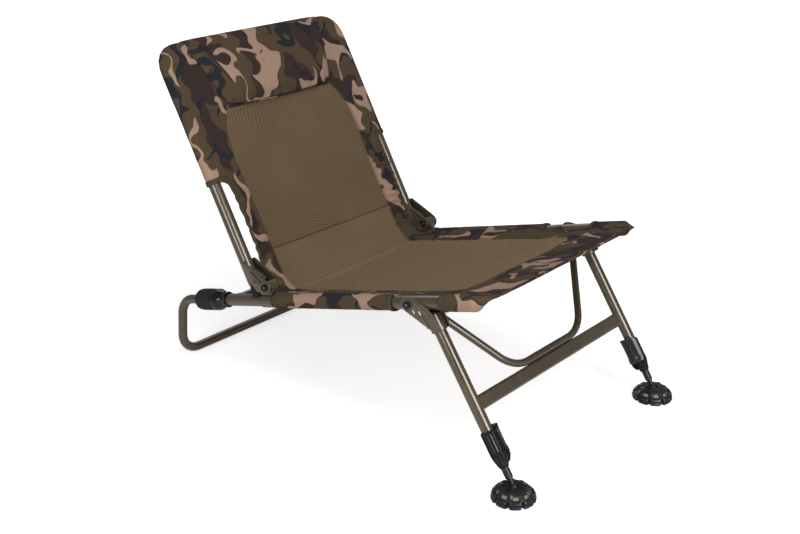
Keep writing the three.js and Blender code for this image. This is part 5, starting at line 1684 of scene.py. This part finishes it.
# Metres, degrees and millimetres of lens
CAMERA_PLACE = (-1.7429, -1.4097, 1.1381)
CAMERA_YAW = 50.288
CAMERA_PITCH = 21.663
CAMERA_ROLL = 0.361
CAMERA_LENS = 53.9


def place_camera(context):
    """The camera, at its place and turned by its three angles."""
    yaw, pitch, roll = (math.radians(v) for v in (CAMERA_YAW, CAMERA_PITCH, CAMERA_ROLL))
    ahead = Vector((math.sin(yaw) * math.cos(pitch), math.cos(yaw) * math.cos(pitch), -math.sin(pitch)))
    right = Vector((math.cos(yaw), -math.sin(yaw), 0))
    up = right.cross(ahead)
    rolled_right = right * math.cos(roll) + up * math.sin(roll)
    rolled_up = up * math.cos(roll) - right * math.sin(roll)
    lens = bpy.data.cameras.new("camera")
    lens.lens, lens.sensor_width = CAMERA_LENS, 36
    camera = linked("camera", lens)
    turn = Matrix((rolled_right, rolled_up, -ahead)).transposed()
    camera.matrix_world = Matrix.Translation(CAMERA_PLACE) @ turn.to_4x4()
    context.scene.camera = camera


# Place, what it faces, width and height, all in metres, and power at a light level of 1
MIDDLE = (0, 0, 0.3)
LAMPS = {"overhead_softbox": ((-0.5, -0.8, 2.5), MIDDLE, 1.8, 1.4, 19),
         "camera_softbox": ((-2.3, -1.5, 1.9), MIDDLE, 1.0, 0.8, 2),
         "left_softbox": ((-2.6, -0.45, 0.95), MIDDLE, 0.7, 1.7, 22),
         "right_softbox": ((-0.75, -2.4, 1.75), MIDDLE, 0.75, 1.5, 25)}
# Bright cards that are only there for reflections: they draw the long streaks down the tubes. Their power is
# a share of the card level.
CARDS = {"right_card": ((-0.62, -2.6, 1.1), (-0.2, 0, 0.4), 1.3, 2.1, 1),
         "back_card": ((1.3, 1.7, 2.0), MIDDLE, 1.5, 1.2, 0.1),
         "left_card": ((-2.6, -0.3, 1.05), (-0.2, 0.3, 0.5), 1.1, 0.9, 0.24)}
FLOOR_HALF = 14.0
FLOOR_DROP = 0.0004
# Distances from the chair over which the camera's lift of the floor grows to its whole
LIFT_FROM, LIFT_TO = 0.5, 2.2
WHITE = (1, 1, 1, 1)


def soft_light(name, place, target, width, height, power, reflected):
    """A soft lamp that the camera doesn't see: one that lights, or one that is only reflected."""
    lamp = bpy.data.lights.new(name, "AREA")
    lamp.shape = "RECTANGLE"
    lamp.size, lamp.size_y, lamp.energy = width, height, power
    light = linked(name, lamp)
    light.location = place
    light.visible_camera = False
    light.visible_glossy = reflected
    light.visible_diffuse = not reflected
    light.rotation_mode = "QUATERNION"
    light.rotation_quaternion = (Vector(target) - Vector(place)).to_track_quat("-Z", "Y")


def seen_directly(tree):
    """1 for what the camera sees, and 0 for what lights the chair or is reflected in it."""
    return add(tree, "LightPath", out="Is Camera Ray")


def studio_floor(stage):
    """Matt white studio floor; the camera sees it a little lighter, so that it reads as white."""
    def build(tree, shader):
        # The lift is least round the chair, where the floor keeps its shadow, and whole where light runs out
        place = add(tree, "TexCoord", out="Object")
        away = add(tree, "VectorMath", {0: place}, 1, operation="LENGTH")
        lift = add(tree, "MapRange", {"Value": away, "From Min": LIFT_FROM, "From Max": LIFT_TO,
                                      "To Min": stage.floor_lift, "To Max": 1.0})
        glow = add(tree, "Math", {0: seen_directly(tree), 1: lift}, operation="MULTIPLY")
        tree.links.new(glow, shader.inputs["Emission Strength"])
        return stage.floor
    return finish("matt white studio floor", {"Base Color": stage.floor, "Roughness": 0.9,
                                              "Specular IOR Level": 0.1, "Emission Color": WHITE}, build)


class CHAIR_OT_stage(bpy.types.Operator):
    """Make the floor, the lamps, the pale surroundings and the camera"""
    bl_idname = "chair.stage"
    bl_label = "Stage"

    def execute(self, context):
        stage = context.scene.chair_stage
        place_camera(context)
        size = FLOOR_HALF
        floor = meshed("floor", [(-size, -size, 0), (size, -size, 0), (size, size, 0), (-size, size, 0)],
                       [(0, 1, 2, 3)])
        floor.location.z = -FLOOR_DROP
        floor.data.materials.append(studio_floor(stage))
        # Pale surroundings: grey to the chair, white to the camera
        world = bpy.data.worlds.new("pale surroundings")
        world.use_nodes = True
        context.scene.world = world
        tree = world.node_tree
        back = tree.nodes["Background"]
        mixed = add(tree, "Mix", {0: seen_directly(tree), 6: stage.surround, 7: WHITE}, 2, data_type="RGBA")
        tree.links.new(mixed, back.inputs["Color"])
        back.inputs["Strength"].default_value = 1.0
        for name, (*setting, power) in LAMPS.items():
            soft_light(name, *setting, power * stage.light, False)
        for name, (*setting, share) in CARDS.items():
            soft_light(name, *setting, stage.card * share, True)
        context.scene.view_settings.view_transform = "Standard"
        return {"FINISHED"}


# What a user may change

def colour_setting(name, description, hex_colour):
    """A colour that the panel shows."""
    return bpy.props.FloatVectorProperty(name=name, description=description, subtype="COLOR", size=4,
                                         min=0.0, max=1.0, default=linear(hex_colour))


class ChairCloth(bpy.types.PropertyGroup):
    blob_length: bpy.props.FloatProperty(name="Blob length", description="Length of the print's tan lobes",
                                         default=0.052, min=0.01, unit="LENGTH")
    mesh_pitch: bpy.props.FloatProperty(name="Mesh pitch",
                                        description="Distance between the mesh's drawn wales",
                                        default=0.0066, min=0.0005, unit="LENGTH")
    olive: colour_setting("Olive", "The print's ground colour", "#544636")
    tan: colour_setting("Tan", "The print's pale lobes", "#a68977")
    brown: colour_setting("Brown", "The print's dark brown patches", "#3d302e")
    black: colour_setting("Black", "The print's blue-black branches", "#2a2c31")
    mesh: colour_setting("Mesh", "The knitted back panel", "#6a5944")
    canvas: colour_setting("Canvas", "The woven seat panel", "#897256")
    tape: colour_setting("Tape", "The bindings", "#4a4738")
    thread: colour_setting("Thread", "The stitching", "#5a4e3e")


class ChairFrame(bpy.types.PropertyGroup):
    paint: colour_setting("Paint", "The tubes' and fittings' powder coat", "#574c3a")
    leg: colour_setting("Inner leg", "The telescopic legs", "#242426")
    plastic: colour_setting("Plastic", "The feet, clamps and levers", "#202023")
    gloss: colour_setting("Collar ring", "The polished collar rings", "#0b0b0d")
    grip: colour_setting("Collar grip", "The collars' soft grips", "#312e2c")


class ChairStage(bpy.types.PropertyGroup):
    light: bpy.props.FloatProperty(name="Light", description="Level of the lamps", default=1.0, min=0.0)
    card: bpy.props.FloatProperty(name="Card", description="Level of the cards that the tubes reflect",
                                  default=72.0, min=0.0)
    floor: colour_setting("Floor", "The floor's colour", "#f4f4f4")
    floor_lift: bpy.props.FloatProperty(name="Floor lift",
                                        description="How much lighter the camera sees the floor",
                                        default=0.64, min=0.0)
    surround: colour_setting("Surroundings", "Colour of the room's light", "#8a8a8a")


class CHAIR_PT_panel(bpy.types.Panel):
    """The chair's pieces and settings"""
    bl_idname = "CHAIR_PT_panel"
    bl_label = "Carp chair"
    bl_space_type = "VIEW_3D"
    bl_region_type = "UI"
    bl_category = "Carp chair"

    def draw(self, context):
        """Every setting, and a button for each operator."""
        for settings in (context.scene.chair_cloth, context.scene.chair_frame, context.scene.chair_stage):
            box = self.layout.box()
            for name in settings.__annotations__:
                box.prop(settings, name)
        for operator in OPERATORS:
            self.layout.operator(operator.bl_idname)


SETTINGS = {"chair_cloth": ChairCloth, "chair_frame": ChairFrame, "chair_stage": ChairStage}
OPERATORS = [CHAIR_OT_stage, CHAIR_OT_tubes, CHAIR_OT_back_hinges, CHAIR_OT_twist_collars,
             CHAIR_OT_leg_brackets, CHAIR_OT_leg_clamps, CHAIR_OT_mud_feet, CHAIR_OT_sling,
             CHAIR_OT_head_pad]
FINISHES = {}


def register():
    for name, kind in SETTINGS.items():
        bpy.utils.register_class(kind)
        setattr(bpy.types.Scene, name, bpy.props.PointerProperty(type=kind))
    for kind in (*OPERATORS, CHAIR_PT_panel):
        bpy.utils.register_class(kind)


def unregister():
    for kind in (CHAIR_PT_panel, *reversed(OPERATORS)):
        bpy.utils.unregister_class(kind)
    for name, kind in SETTINGS.items():
        delattr(bpy.types.Scene, name)
        bpy.utils.unregister_class(kind)


def main():
    """Makes the whole chair and its stage."""
    register()
    FINISHES.update(all_finishes())
    for node in frame["nodes"].values():
        node.data.materials.clear()
        node.data.materials.append(FINISHES[NODE_FINISHES.get(node.name.rsplit("_", 1)[0], "paint")])
    for operator in OPERATORS:
        group, name = operator.bl_idname.split(".")
        getattr(getattr(bpy.ops, group), name)()


NODE_FINISHES = {"hinge_bolt": "oxide", "leg_bolt": "oxide", "lever_pin": "oxide", "stop_bumper": "rubber",
                 "collar_ferrule": "nylon", "collar_grip": "grip", "leg_plug": "nylon",
                 "clamp_body": "nylon", "cam_lever": "nylon", "mud_foot": "nylon", "inner_leg": "leg",
                 "leg_bracket": "pressed", "back_plate_outer": "pressed", "back_plate_inner": "pressed",
                 "seat_saddle": "pressed"}


if __name__ == "__main__":
    main()
